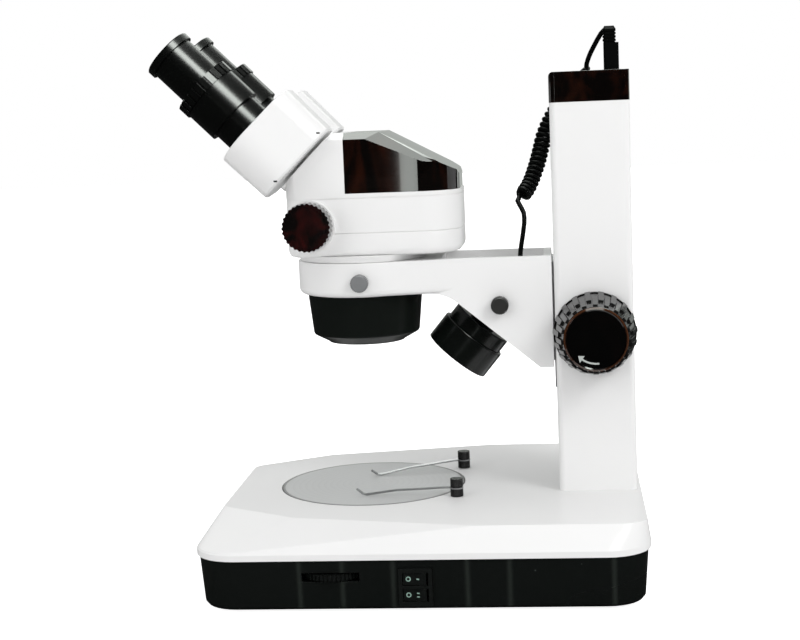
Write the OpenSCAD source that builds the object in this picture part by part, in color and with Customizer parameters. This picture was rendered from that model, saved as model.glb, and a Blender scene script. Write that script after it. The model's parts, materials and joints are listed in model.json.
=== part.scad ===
// Stereo zoom microscope on a lit stand.
// Frame: +X is the user's right, +Y points to the rear, +Z is up.
// The origin is on the optical axis, at the underside of the base.

/* [Base] */
// Width of the base at its white lip
base_w = 250; // [238:1:266]
// Depth of the base, front to rear
base_d = 278.5; // [270:0.5:292]
// Front edge of the base ahead of the optical axis
base_front = 99.5; // [95:0.5:107]
// Plan radius of the base corners
base_corner_r = 27; // [22:1:32]
// Height of the black housing
housing_h = 31.4; // [30:0.2:34]
// Wall thickness of the base mouldings
base_wall = 3; // [2.4:0.1:3.6]
// Inward draft of the housing sides, in degrees
housing_draft = 4; // [2:0.5:5]
// How far the white lip stands out past the housing
lip_reveal = 1.5; // [1:0.1:2]
// Height of the upright band of the lip
lip_h = 5; // [4:0.2:6]
// Height of the flat deck above the underside
deck_h = 49; // [47:0.5:52]
// Width of the flat deck beside the column
deck_rear_w = 228; // [220:1:232]
// Width of the flat deck at its front shoulders
deck_shoulder_w = 180; // [170:1:190]
// Width of the flat deck along its front edge
deck_nose_w = 124; // [110:1:136]
// Thickness of the bottom plate
bottom_t = 1.5; // [1.2:0.1:2]
// Diameter of a rubber foot
foot_d = 20; // [16:1:24]
// How far a foot stands below the base
foot_drop = 2.5; // [2:0.1:4]
// Diameter of a bottom plate screw
screw_d = 3; // [2.6:0.1:3.4]

/* [Stage] */
// Diameter of the frosted stage plate
stage_d = 122; // [110:1:124]
// Thickness of the stage plate
stage_t = 5; // [4:0.2:6]
// Radial gap round the stage plate
stage_gap = 0.7; // [0.4:0.1:1]
// Width of the ledge that carries the stage plate
stage_ledge = 9; // [6:0.5:12]
// Distance of a clip post from the centre line
clip_x = 40.5; // [38:0.5:46]
// Distance of the clip posts behind the optical axis
clip_y = 58.7; // [56:0.5:64]
// Diameter of a clip post
clip_d = 8.3; // [7:0.1:9]
// Height of a clip post above the deck
clip_h = 11.7; // [10:0.1:14]
// Diameter of the clip spring wire
clip_wire_d = 1.6; // [1.2:0.1:2]
// Length of a clip spring, post to tip
clip_len = 66; // [56:1:72]
// Diameter of a clip's pivot pin
clip_pin_d = 5; // [4:0.1:6]

/* [Controls] */
// Diameter of a brightness wheel
wheel_d = 40; // [34:1:44]
// Thickness of a brightness wheel
wheel_t = 3.8; // [3:0.2:4.2]
// How far a brightness wheel stands out of the housing
wheel_proud = 2; // [1:0.1:2.2]
// Position of the brightness wheels along the base
wheel_y = -13.7; // [-24:0.1:-8]
// Height of the brightness wheels above the underside
wheel_z = 20.6; // [18:0.1:22]
// Position of the switches along the base
switch_y = 37.6; // [32:0.1:50]
// Width of the switch bezel
bezel_w = 20.4; // [19:0.1:23]
// Height of the switch bezel
bezel_h = 23.4; // [22.4:0.1:24.4]
// Width of a rocker
rocker_w = 14.4; // [13:0.1:15]
// Height of a rocker
rocker_h = 7.6; // [7:0.1:7.8]
// Distance between the two rockers
rocker_pitch = 9.8; // [9.6:0.1:10.4]
// Angle through which a rocker tips
rocker_swing = 16; // [12:1:18]

/* [Column] */
// Width of the column
column_w = 64.8; // [60:0.2:70]
// Depth of the column
column_d = 50; // [46:0.5:54]
// Distance from the optical axis to the column's front face
column_y = 124.7; // [124.7:0.1:130]
// Top of the column shell above the underside
column_top = 297.9; // [290:0.5:310]
// Wall thickness of the column
column_wall = 4; // [3:0.1:5]
// Plan radius of the column's corners
column_r = 4; // [2:0.5:6]
// Height of the column's cap
cap_h = 19; // [16:0.5:24]
// Width of the slot in the column's front
slot_w = 32; // [31:0.5:36]

/* [Focus drive] */
// Module of the rack and pinion
gear_module = 0.8; // [0.7:0.05:0.85]
// Number of pinion teeth
pinion_teeth = 18; // [17:1:19]
// Pressure angle of the teeth, in degrees
pressure_angle = 20; // [18:1:22]
// Play between the meshing teeth
backlash = 0.12; // [0.08:0.01:0.2]
// Face width of the pinion
pinion_w = 14; // [10:1:18]
// Diameter of the focus shaft
shaft_d = 8; // [7:0.5:9]
// Height of the focus shaft above the underside
shaft_z = 152.2; // [148:0.1:158]
// Height that the arm can be raised
focus_up = 30; // [20:1:34]
// Height that the arm can be lowered
focus_down = 20; // [10:1:26]
// Diameter of the focus knob's back ring
focus_ring_d = 52.4; // [46:0.2:54]
// Diameter of the focus knob's face
focus_face_d = 40; // [36:0.5:42]
// Length of a focus knob
focus_knob_l = 32; // [28:0.5:36]
// Grip blocks round a focus knob
grip_blocks = 24; // [18:1:28]
// Rows of grip blocks
grip_rows = 3; // [2:1:4]

/* [Arm] */
// Width of the arm
arm_w = 60; // [58:0.5:62]
// Top of the arm above the underside
arm_top = 201.6; // [200:0.1:204]
// Thickness of the head ring
ring_h = 22; // [20:0.1:23]
// Outer diameter of the head ring
ring_d = 86.5; // [85:0.5:92]
// Radius of the ring's lower edge
ring_edge = 4.5; // [3:0.5:6]
// Diameter of the head's seat in the ring
seat_d = 76; // [74:0.1:78]
// Thickness of the arm's side walls
arm_wall = 4.5; // [4:0.1:5]
// Depth of the recess in the arm's top
recess_h = 14.9; // [11:0.1:15.5]
// Slope of the arm's underside, in degrees
arm_slope = 39.8; // [38:0.2:42]
// Radius where the underside turns down
arm_fillet = 30; // [24:1:34]
// Bottom of the arm beside the column
arm_foot_z = 130; // [128:0.5:134]

/* [Lamp] */
// Distance of the lamp's pivot behind the optical axis
lamp_y = 89.9; // [88.5:0.1:92]
// Height of the lamp's pivot
lamp_z = 171.3; // [170:0.1:172]
// Diameter of the lamp's barrel
barrel_d = 41; // [38:0.5:42]
// Diameter of the lamp's hood
hood_d = 45.2; // [42.6:0.1:46]
// Distance from the pivot to the top of the barrel
barrel_start = 19.5; // [19:0.1:21]
// Distance from the pivot to the top of the hood
hood_start = 29; // [28:0.1:31]
// Length of the hood
hood_l = 18.8; // [15:0.1:20]
// Diameter of the lamp's pivot screw
lamp_pin_d = 6; // [5:0.1:7]
// Diameter of the knobs on the arm's side
lock_knob_d = 11.3; // [9:0.1:12.5]

/* [Head] */
// Width of the head
head_w = 80; // [76:0.5:84]
// Front of the head ahead of the optical axis
head_front = 44.5; // [43:0.5:47]
// Rear of the head behind the optical axis
head_rear = 67; // [64:0.5:70]
// Plan radius of the head's rear corners
head_rear_r = 26; // [20:1:32]
// Plan radius of the head's front corners
head_front_r = 9; // [6:0.5:12]
// Underside of the head above the base's underside
head_z = 205.8; // [205.2:0.1:208]
// Height of the seam between the lower and the middle case
lower_seam_z = 220.5; // [218:0.1:222]
// Height of the seam under the upper case
upper_seam_z = 242.8; // [242.5:0.1:245]
// Height of the ledge that carries the hood
ledge_z = 245.9; // [245.6:0.1:248]
// Top of the head
head_top = 284; // [282:0.2:286]
// Where the hood starts, from the optical axis
hood_front_y = -5.6; // [-8:0.1:0]
// Diameter of the zoom knobs
zoom_d = 30.8; // [26:0.2:32]
// Length of a zoom knob
zoom_l = 12; // [10:0.5:14]
// Scallops round a zoom knob
zoom_scallops = 30; // [20:1:36]
// Position of the zoom shaft ahead of the optical axis
zoom_y = -29.2; // [-30:0.1:-27]
// Height of the zoom shaft
zoom_z = 226.2; // [224:0.1:228]
// Diameter of the objective shroud at its top
shroud_d = 75.6; // [74:0.1:77]
// Height of the shroud's lower end
shroud_z = 146.9; // [143:0.1:149]
// Inner diameter of the auxiliary lens thread
aux_thread_d = 47.2; // [46:0.1:48.5]
// Length of the auxiliary lens thread
aux_thread_l = 5; // [4:0.1:6]

/* [Eyepieces] */
// Height along the incline of the pivots from the incline's lower edge
pivot_up = 19.6; // [19:0.1:20.6]
// Distance of a prism box's pivot from the centre line
pivot_x = 14; // [13.6:0.1:15]
// Distance of an eyepiece from the centre line
eye_x = 34.4; // [33:0.1:36]
// How far the eyepieces lie below the pivots, along the incline
eye_drop = 9.5; // [8:0.1:11]
// Depth of a prism box along the eyepiece
box_l = 36.9; // [34:0.1:41]
// Gap between the head and a prism box
box_gap = 2; // [1.6:0.1:2.4]
// Length of the collar above a prism box
collar_l = 13.7; // [11:0.1:16]
// Length of an eyepiece sleeve
sleeve_l = 20.7; // [18:0.1:24]
// Diameter of an eyepiece sleeve
sleeve_d = 39.4; // [38:0.1:40]
// Diameter of a dioptre ring
dioptre_d = 41.5; // [40.5:0.1:42.5]
// Length of a dioptre ring
dioptre_l = 8; // [6:0.1:10]
// Diameter of an eyepiece's barrel
eyepiece_d = 30.6; // [29:0.1:31.4]
// Length of an eyepiece above its dioptre ring
eyepiece_l = 30.4; // [27:0.1:34]
// Diameter of an eyepiece's rim
eye_rim_d = 34; // [33:0.1:36]

/* [Lead] */
// Diameter of the coiled lead
lead_d = 3.2; // [3.2:0.1:3.6]
// Outer diameter of the lead's coil
coil_d = 11.6; // [10.4:0.1:12]
// Width of the plug, front to rear
plug_w = 9.6; // [8.8:0.1:10.6]
// Height of the plug
plug_h = 27.5; // [24:0.5:30]

/* [Fits] */
// Radial clearance of a running fit
run_fit = 0.05; // [0.03:0.01:0.08]
// Gap between faces that pass each other
face_gap = 0.3; // [0.2:0.05:0.4]

/* [Hidden] */
$fn = 96;
hull_fn = 32;

base_rear = base_d - base_front;
base_mid = (base_rear - base_front) / 2;
lip_top = housing_h + lip_h;
housing_foot_inset = lip_reveal + housing_h * tan(housing_draft);
foot_x = base_w / 2 - 34;
foot_front_y = 32 - base_front;
foot_rear_y = base_rear - 34;
deck_nose_y = 19.5 - base_front;
deck_shoulder_y = 63.5 - base_front;
deck_bend_y = base_rear - 103;
boss_r = 5;
boss_x = base_w / 2 - 14;
boss_y = [26 - base_front, base_mid + 26, base_rear - 26];
screw_l = 9;

stage_r = stage_d / 2;
well_r = stage_r + stage_gap;
light_r = stage_r - stage_ledge;
ledge_t = 3;
ledge_bottom = deck_h - stage_t - ledge_t;
deck_t = 3.5;
clip_boss_h = 12;
column_bolt_d = 6;
cup_r = light_r + 5;

housing_side_x = base_w / 2 - lip_reveal;
cup_floor = housing_h / 2;
board_z = 8;
board_gap = 0.6;
dial_r = 8;
wheel_r = wheel_d / 2;
wheel_x = housing_side_x + wheel_proud - wheel_r;
wheel_pin_d = 6;
wheel_pin_l = 7.5;
wheel_knurls = 48;
slot_half = 17.5;
slot_gap = 0.9;
bezel_x = housing_side_x + 0.4;
bezel_t = 2.4;
switch_z = 14.2;
switch_depth = 13;
rocker_x = bezel_x - 3.4;
rocker_pin_d = 2;
rocker_gap = 0.25;
inlet_w = 27.5;
inlet_h = 20;
inlet_z = 16.4;
inlet_flange_t = 2;
inlet_face_y = base_rear - 1.1;
clip_turn_right = 5;
clip_turn_left = 20;

column_mid_y = column_y + column_d / 2;
column_foot_t = 6;
cap_over = 0.2;
cap_round = 3;
cap_top = column_top + cap_h;

pitch_r = gear_module * pinion_teeth / 2;
addendum = gear_module;
dedendum = 1.25 * gear_module;
tooth_pitch = PI * gear_module;
shaft_y = column_mid_y;
rack_pitch_y = shaft_y - pitch_r;
rack_body_t = 5.5;
rack_back_y = rack_pitch_y - dedendum - rack_body_t;
rack_w = 12;
rack_z0 = shaft_z - focus_up - 8;
rack_z1 = shaft_z + focus_down + 8;
bush_r = shaft_d / 2 + 3;
knob_x = column_w / 2 + 1;
knob_ring_t = 3;
grip_l = focus_knob_l - knob_ring_t - 3;
grip_bore_r = 16;
grip_relief = 1.4;

arm_rear_y = column_y - 1.3;
tongue_half = 14;
tongue_flare = 20;
tongue_neck_y = column_y + 5;
gib_play = 0.2;
carriage_z0 = rack_z0;
carriage_z1 = arm_top - 8;
slot_z0 = carriage_z0 - focus_down - 4;
slot_z1 = carriage_z1 + focus_up + 4;
ring_r = ring_d / 2;
ring_fn = 128;
web_end_y = 62;
ring_bottom = arm_top - ring_h;
seat_r = seat_d / 2;
slope_y = ring_r + 11.8;
fillet_run = arm_fillet * tan(arm_slope / 2);
recess_y0 = ring_r + 9.75;
recess_y1 = arm_rear_y - 5;
recess_floor = arm_top - recess_h;

lamp_turn = 180 - arm_slope;
neck_r = 9;
eye_r = 8;
eye_w = 22;
pocket_half = arm_w / 2 - arm_wall;
pocket_top = recess_floor - 4.5;
lamp_swing_room = 25.5;
lamp_back_room = 26;
lock_z = ring_bottom + 9.65;
lock_y = 2;
lock_screw_d = 5;

incline_z = upper_seam_z + 10.4;
box_top = box_gap + box_l;
collar_top = box_top + collar_l;
sleeve_top = collar_top + sleeve_l;
dioptre_top = sleeve_top + dioptre_l;
eye_top = dioptre_top + eyepiece_l;
bevel_x0 = head_w / 2 - 0.8;
bevel_x1 = bevel_x0 - 6;
bevel_z = head_top - 4;
collar_r = 16.95;
trunnion_r = 11;
trunnion_l = 9;
rim_l = 5;
lens_r = 11.5;
dioptre_ribs = 26;
zoom_shaft_d = 6;
boss_proud = 3;
zoom_end = head_w / 2 + boss_proud + face_gap + zoom_l - 3;
flange_r = ring_r - 2;
flange_flare = 2.4;
seat_gap = 0.1;
objective_x = 13;
objective_r = 11.4;
shroud_low_r = shroud_d / 2 - 2.6;
shroud_low_z = shroud_z + 5.9;
aux_face_r = aux_thread_d / 2 + 1.4;
spigot_z = ring_bottom - face_gap;

plug_y = column_y + column_d - 9.7;
plug_z = cap_top;
plug_gap = 0.6;
socket_r = 6;
gland_x = 0;
gland_y = recess_y1 - 15.4;
gland_r = 3.6;
gland_top = 196;
upper_route = [
    [0, 165, 337.5], [0, 164.5, 341], [-0.5, 162.5, 343], [-2, 159.8, 341.5], [-4, 157, 337.4],
    [-6, 154.4, 332.9], [-9, 151.8, 328], [-12, 149.8, 322.8], [-17, 149.5, 319.6], [-24, 150.5, 319],
    [-31, 149.5, 319], [-36, 146.5, 317], [-38.8, 142.5, 312], [-39.2, 139.5, 305.6]
];
coil_route = [
    [-39.2, 139, 305], [-39.2, 133, 298.5], [-38.8, 125.5, 287], [-37.4, 120.5, 276],
    [-35, 118, 267], [-31, 115.6, 258.5], [-26, 112.3, 249.5], [-20, 108.4, 241.8], [-10, 102.1, 234.9]
];
lower_route = [
    [-11, 102.6, 236], [-7, 103.6, 232], [-4, 106, 227.5], [-2, 106.4, 222], [-1, 105.8, 217.2],
    [0, 105, 212], [0, 103.8, 205.5], [0, 103, 199], [0, 103, 196]
];

// ---- shared shapes ----

module rounded_rect(w, d, r) {
    square([w - 2 * r, d], center = true);
    square([w, d - 2 * r], center = true);
    for (sx = [-1, 1], sy = [-1, 1]) {
        translate([sx * (w / 2 - r), sy * (d / 2 - r)]) circle(r);
    }
}

module base_slab(inset, z0, z1) {
    translate([0, base_mid, z0])
        linear_extrude(z1 - z0)
            rounded_rect(base_w - 2 * inset, base_d - 2 * inset, base_corner_r - inset, $fn = hull_fn);
}

module deck_facet(inset, z0, z1) {
    corners = [
        [deck_rear_w / 2 - 14, base_rear - 16, 14],
        [deck_rear_w / 2 - 9, deck_bend_y, 9],
        [deck_shoulder_w / 2 - 11, deck_shoulder_y, 11],
        [deck_nose_w / 2 - 11, deck_nose_y, 11]
    ];
    for (side = [-1, 1], c = corners) {
        translate([side * c[0], c[1], z0]) cylinder(r = c[2] - inset, h = z1 - z0, $fn = hull_fn);
    }
}

module extrude_x(w) {
    rotate([90, 0, 90]) linear_extrude(w, center = true) children();
}

module extrude_y(y0, y1) {
    translate([0, y1, 0]) rotate([90, 0, 0]) linear_extrude(y1 - y0) children();
}

module rod_x(x0, x1, r) {
    translate([x0, 0, 0]) rotate([0, 90, 0]) cylinder(r = r, h = x1 - x0);
}

module both_sides() {
    children();
    mirror([1, 0, 0]) children();
}

// Outline of a knurled or toothed wheel with square-topped teeth.
function tooth_ring(n, r_out, r_root, share) = [
    for (i = [0 : n - 1], c = [[r_root, -0.5], [r_root, -share / 2], [r_out, -share / 2 * 0.86],
                               [r_out, share / 2 * 0.86], [r_root, share / 2]])
        [c[0] * cos((i + c[1]) * 360 / n), c[0] * sin((i + c[1]) * 360 / n)]
];

module knurled(n, r, depth, h, share = 0.6) {
    linear_extrude(h) polygon(tooth_ring(n, r, r - depth, share));
}

module scalloped(n, r, bite) {
    difference() {
        circle(r);
        for (i = [0 : n - 1]) rotate(i * 360 / n) translate([r + bite * 0.45, 0]) circle(bite, $fn = 16);
    }
}

// A tube of round section swept through the points of a route.
function unit(v) = v / norm(v);
function route_dir(p, i) = unit(p[min(i + 1, len(p) - 1)] - p[max(i - 1, 0)]);
function route_side(d) = unit(cross(d, abs(d[0]) < 0.9 ? [1, 0, 0] : [0, 1, 0]));
function route_ring(c, d, r, n) = let (s = route_side(d), t = cross(d, s))
    [for (k = [0 : n - 1]) c + r * (cos(k * 360 / n) * s + sin(k * 360 / n) * t)];

module route_tube(p, r, n) {
    rings = [for (i = [0 : len(p) - 1]) route_ring(p[i], route_dir(p, i), r, n)];
    last = len(p) - 1;
    points = [for (ring = rings, q = ring) q];
    sides = [for (i = [0 : last - 1], k = [0 : n - 1])
        [i * n + k, (i + 1) * n + k, (i + 1) * n + (k + 1) % n, i * n + (k + 1) % n]];
    ends = [[for (k = [0 : n - 1]) k], [for (k = [n - 1 : -1 : 0]) last * n + k]];
    polyhedron(points = points, faces = concat(sides, ends));
}

// ---- base ----

module housing_shell() {
    difference() {
        hull() {
            base_slab(housing_foot_inset + 1.6, 0, 0.2);
            base_slab(housing_foot_inset, 2, 2.2);
            base_slab(lip_reveal, housing_h - 0.2, housing_h);
        }
        hull() {
            base_slab(housing_foot_inset + base_wall + 0.6, -1, -0.8);
            base_slab(lip_reveal + base_wall, housing_h + 0.8, housing_h + 1);
        }
    }
}

// A boss for a plate screw, tied to the side wall by a rib.
module screw_boss() {
    boss_h = screw_l + 3 - bottom_t;
    rib_l = base_w / 2 - housing_foot_inset - base_wall + 1 - boss_x;
    translate([0, 0, bottom_t]) {
        cylinder(r = boss_r, h = boss_h);
        translate([0, -base_wall / 2, 0]) cube([rib_l, base_wall, boss_h]);
    }
}

module base_housing() {
    color("#18191a") difference() {
        union() {
            housing_shell();
            for (y = boss_y) both_sides() translate([boss_x, y, 0]) screw_boss();
        }
        screw_places() cylinder(d = screw_d, h = screw_l);
        for (side = [-1, 1])
            translate([side * housing_side_x, wheel_y, wheel_z])
                cube([20, 2 * slot_half, wheel_t + 2 * slot_gap], center = true);
        translate([housing_side_x, switch_y, switch_z])
            cube([24, bezel_w - 1.6, bezel_h - 1.6], center = true);
        translate([bezel_x - bezel_t + 5, switch_y, switch_z])
            cube([10, bezel_w + 0.2, bezel_h + 0.2], center = true);
        translate([0, base_rear, inlet_z]) cube([inlet_w, 24, inlet_h], center = true);
        translate([0, inlet_face_y - inlet_flange_t + 5, inlet_z])
            cube([inlet_w + 5.2, 10, inlet_h + 4.2], center = true);
    }
}

module screw_places() {
    for (side = [-1, 1], y = boss_y) translate([side * boss_x, y, 0]) children();
}

module foot_places() {
    for (side = [-1, 1], y = [foot_front_y, foot_rear_y]) translate([side * foot_x, y, 0]) children();
}

module bottom_plate() {
    color("#9a9c9e") difference() {
        base_slab(housing_foot_inset + base_wall + 0.9, 0, bottom_t);
        screw_places() {
            translate([0, 0, -1]) cylinder(d = screw_d + 0.4, h = bottom_t + 2);
            translate([0, 0, -0.01]) cylinder(r1 = screw_d, r2 = screw_d / 2 + 0.2, h = bottom_t - 0.2);
        }
        foot_places() translate([0, 0, -1]) cylinder(d = foot_d + 0.6, h = bottom_t + 2);
    }
}

module rubber_feet() {
    color("#101010") foot_places() {
        translate([0, 0, -foot_drop]) cylinder(d = foot_d, h = foot_drop + bottom_t + 0.5);
        translate([0, 0, bottom_t]) cylinder(d = foot_d + 4, h = 1.5);
    }
}

module base_screws() {
    color("#c4c6c8") {
        screw_places() {
            cylinder(r1 = screw_d, r2 = screw_d / 2, h = bottom_t - 0.2);
            cylinder(d = screw_d, h = screw_l);
        }
        column_bolt_places() {
            translate([0, 0, deck_h - deck_t - 5]) cylinder(d = 10, h = 5);
            translate([0, 0, deck_h - deck_t - 1]) cylinder(d = column_bolt_d, h = deck_t + column_foot_t);
        }
    }
}

module column_bolt_places() {
    for (side = [-1, 1], dy = [-1, 1])
        translate([side * (column_w / 2 - 14), column_mid_y + dy * (column_d / 2 - 13), 0]) children();
}

module deck_cover() {
    color("#f1f1ef") difference() {
        union() {
            difference() {
                hull() {
                    base_slab(0, housing_h, lip_top - 1.2);
                    base_slab(0.9, housing_h, lip_top);
                    deck_facet(0, deck_h - 0.2, deck_h);
                }
                hull() {
                    base_slab(base_wall, housing_h - 1, lip_top - 1);
                    deck_facet(0, deck_h - deck_t - 0.2, deck_h - deck_t);
                }
            }
            translate([0, 0, ledge_bottom]) cylinder(r = well_r + 3, h = deck_h - ledge_bottom - 0.1);
            for (side = [-1, 1])
                translate([side * clip_x, clip_y, deck_h - clip_boss_h])
                    cylinder(d = clip_pin_d + 7, h = clip_boss_h - 0.1);
        }
        translate([0, 0, deck_h - stage_t]) cylinder(r = well_r, h = stage_t + 1);
        translate([0, 0, ledge_bottom - 1]) cylinder(r = light_r, h = deck_h);
        for (side = [-1, 1])
            translate([side * clip_x, clip_y, deck_h - clip_boss_h + 2])
                cylinder(d = clip_pin_d + 2 * run_fit, h = clip_boss_h);
        column_bolt_places() translate([0, 0, deck_h - deck_t - 1])
            cylinder(d = column_bolt_d + 0.4, h = deck_t + 2);
    }
}

module stage_plate() {
    color("#c9cccd") translate([0, 0, deck_h - stage_t]) cylinder(r = stage_r, h = stage_t);
}

module stage_lamp() {
    cup_t = 2;
    led_pitch = light_r / 6;
    color("#e8eae8") {
        rotate_extrude() polygon([
            [0, cup_floor], [light_r, cup_floor], [cup_r, ledge_bottom], [cup_r - cup_t, ledge_bottom],
            [light_r - cup_t, cup_floor + cup_t], [0, cup_floor + cup_t]
        ]);
        for (ring = [0 : 3], i = [0 : max(ring * 6 - 1, 0)])
            rotate(ring == 0 ? 0 : i * 60 / ring)
                translate([ring * led_pitch, 0, cup_floor + cup_t]) cylinder(d = 5, h = 1.6, $fn = 24);
    }
}

module control_board() {
    board_t = 1.6;
    board_w = 2 * dial_r + 8;
    board_top = board_z + board_t;
    parts_h = cup_floor - board_top - board_gap;
    dial_h = wheel_z - wheel_t / 2 - board_top - board_gap;
    color("#2f6b46") {
        difference() {
            translate([-wheel_x - dial_r, wheel_y - board_w / 2, board_z])
                cube([2 * (wheel_x + dial_r), board_w, board_t]);
            for (side = [-1, 1])
                translate([side * wheel_x, wheel_y, board_z - 1])
                    cylinder(d = wheel_pin_d + 1, h = board_t + 2);
        }
        for (side = [-1, 1]) translate([side * wheel_x, wheel_y, board_top]) difference() {
            cylinder(r = dial_r, h = dial_h);
            translate([0, 0, -1]) cylinder(d = wheel_pin_d + 2 * run_fit, h = dial_h + 2);
        }
        for (share = [-0.75, -0.25, 0.25, 0.75])
            translate([share * wheel_x, wheel_y, bottom_t]) cylinder(d = 6, h = board_z - bottom_t);
        for (share = [-0.6, 0.45])
            translate([share * wheel_x, wheel_y, board_top + parts_h / 2])
                cube([0.16 * wheel_x, 0.7 * board_w, parts_h], center = true);
        for (share = [-0.35, -0.2, 0.15])
            translate([share * wheel_x, wheel_y, board_top]) cylinder(d = board_w / 3, h = parts_h, $fn = 32);
    }
}

module power_inlet() {
    face_y = inlet_face_y;
    color("#141414") translate([0, 0, inlet_z]) {
        difference() {
            union() {
                extrude_y(face_y - inlet_flange_t, face_y) rounded_rect(inlet_w + 5, inlet_h + 4, 3);
                extrude_y(face_y - 22, face_y - 1) rounded_rect(inlet_w - 0.4, inlet_h - 0.4, 2);
            }
            extrude_y(face_y - 17, face_y + 1) rounded_rect(inlet_w - 3.4, inlet_h - 3.4, 3);
        }
        for (x = [-7, 0, 7]) translate([x - 1, face_y - 19, x == 0 ? 1 : -5]) cube([2, 13, 4]);
    }
}

// ---- switches and brightness wheels ----

module rocker_places() {
    for (i = [-1, 1]) translate([0, switch_y, switch_z + i * rocker_pitch / 2]) children();
}

module switch_panel() {
    pocket_y = rocker_w + 1.2;
    pocket_z = rocker_h + 2 * rocker_gap;
    back_x = bezel_x - switch_depth;
    color("#1c1d1e") difference() {
        union() {
            translate([bezel_x - bezel_t / 2, switch_y, switch_z])
                cube([bezel_t, bezel_w, bezel_h], center = true);
            translate([(back_x + bezel_x) / 2 - 1, switch_y, switch_z])
                cube([switch_depth - 2, bezel_w - 2, bezel_h - 2], center = true);
        }
        rocker_places() {
            translate([back_x + 2, -pocket_y / 2, -pocket_z / 2]) cube([switch_depth, pocket_y, pocket_z]);
            translate([rocker_x, 0, -pocket_z / 2 - 0.75])
                cylinder(d = rocker_pin_d + 2 * run_fit, h = pocket_z + 1.5, $fn = 32);
        }
    }
}

module rocker() {
    translate([rocker_x, switch_y, 0]) {
        translate([0, 0, -rocker_h / 2 - 0.8]) cylinder(d = rocker_pin_d, h = rocker_h + 1.6, $fn = 32);
        translate([0, 0, -rocker_h / 2]) rotate(-rocker_swing / 2) linear_extrude(rocker_h) polygon([
            [-4.5, -5.2], [3.2, -rocker_w / 2], [2.2, 0], [3.2, rocker_w / 2], [-4.5, 5.2]
        ]);
    }
}

module rocker_upper() { color("#26292a") translate([0, 0, switch_z + rocker_pitch / 2]) rocker(); }

module rocker_lower() { color("#26292a") translate([0, 0, switch_z - rocker_pitch / 2]) rocker(); }

module brightness_wheel() {
    translate([wheel_x, wheel_y, wheel_z - wheel_t / 2]) {
        knurled(wheel_knurls, wheel_r, 1, wheel_t);
        translate([0, 0, -wheel_pin_l]) cylinder(d = wheel_pin_d, h = wheel_pin_l + wheel_t / 2);
    }
}

module wheel_right() { color("#1b1b1b") brightness_wheel(); }

module wheel_left() { color("#1b1b1b") mirror([1, 0, 0]) brightness_wheel(); }

// ---- stage clips ----

module clip_post(turn) {
    translate([clip_x, clip_y, deck_h]) rotate(-turn) {
        translate([0, 0, -clip_boss_h + 2.6]) cylinder(d = clip_pin_d, h = clip_boss_h);
        translate([0, 0, face_gap]) difference() {
            union() {
                knurled(24, clip_d / 2, 0.35, clip_h * 0.45 - face_gap);
                cylinder(d = clip_d - 2, h = clip_h * 0.6);
                translate([0, 0, clip_h * 0.53]) knurled(24, clip_d / 2, 0.35, clip_h * 0.47 - face_gap);
            }
            translate([0, -clip_d, clip_h * 0.49 - face_gap])
                rotate([-90, 0, 0]) cylinder(d = clip_wire_d, h = clip_d * 2, $fn = 24);
        }
    }
}

// The wire leaves the post, comes down to the stage and turns up at its tip.
module clip_spring(turn) {
    leave_z = deck_h + clip_h * 0.49;
    press_z = deck_h + clip_wire_d / 2 + 0.1;
    route = [
        [0, 2, leave_z], [0, -8, leave_z], [0, -clip_len * 0.3, leave_z - 0.8],
        [0, -clip_len * 0.6, (leave_z + press_z) / 2 + 0.4], [0, -clip_len * 0.84, press_z + 0.5],
        [0, -clip_len * 0.9, press_z], [0, -clip_len * 0.94, press_z + 0.5], [0, -clip_len, press_z + 3.5]
    ];
    translate([clip_x, clip_y, 0]) rotate(-turn) route_tube(route, clip_wire_d / 2, 8);
}

module clip_post_right() { color("#151515") clip_post(clip_turn_right); }

module clip_spring_right() { color("#b9bcbe") clip_spring(clip_turn_right); }

module clip_post_left() { color("#151515") mirror([1, 0, 0]) clip_post(clip_turn_left); }

module clip_spring_left() { color("#b9bcbe") mirror([1, 0, 0]) clip_spring(clip_turn_left); }

// ---- column ----

module column_shell() {
    inner_w = column_w - 2 * column_wall;
    inner_d = column_d - 2 * column_wall;
    color("#f1f1ef") difference() {
        translate([0, column_mid_y, deck_h])
            linear_extrude(column_top - deck_h) rounded_rect(column_w, column_d, column_r);
        translate([0, column_mid_y, deck_h + column_foot_t])
            linear_extrude(column_top) rounded_rect(inner_w, inner_d, 1);
        translate([-slot_w / 2, column_y - 1, slot_z0]) cube([slot_w, column_wall + 2, slot_z1 - slot_z0]);
        translate([0, shaft_y, shaft_z]) rod_x(-column_w, column_w, bush_r);
        column_bolt_places() translate([0, 0, deck_h - 1]) cylinder(d = column_bolt_d, h = column_foot_t + 2);
    }
}

module column_cap() {
    half_w = column_w / 2 + cap_over;
    y0 = column_y - cap_over;
    y1 = column_y + column_d + cap_over;
    color("#20120d") difference() {
        union() {
            intersection() {
                extrude_x(2 * half_w) {
                    translate([y0, column_top]) square([y1 - y0, cap_h - cap_round]);
                    translate([y0 + cap_round, column_top]) square([y1 - y0 - cap_round, cap_h]);
                    translate([y0 + cap_round, cap_top - cap_round]) circle(cap_round);
                }
                translate([0, column_mid_y, column_top - 1]) linear_extrude(cap_h + 2)
                    rounded_rect(2 * half_w, column_d + 2 * cap_over, column_r);
            }
            translate([0, column_mid_y, column_top - 5]) linear_extrude(6)
                rounded_rect(column_w - 2 * column_wall - 0.2, column_d - 2 * column_wall - 0.2, 1);
        }
        translate([0, column_mid_y, column_top - 6]) linear_extrude(cap_h + 2)
            rounded_rect(column_w - 2 * column_wall - 4, column_d - 2 * column_wall - 4, 1);
        translate([0, plug_y, column_top]) cylinder(r = socket_r, h = cap_h + 1);
    }
}

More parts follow.
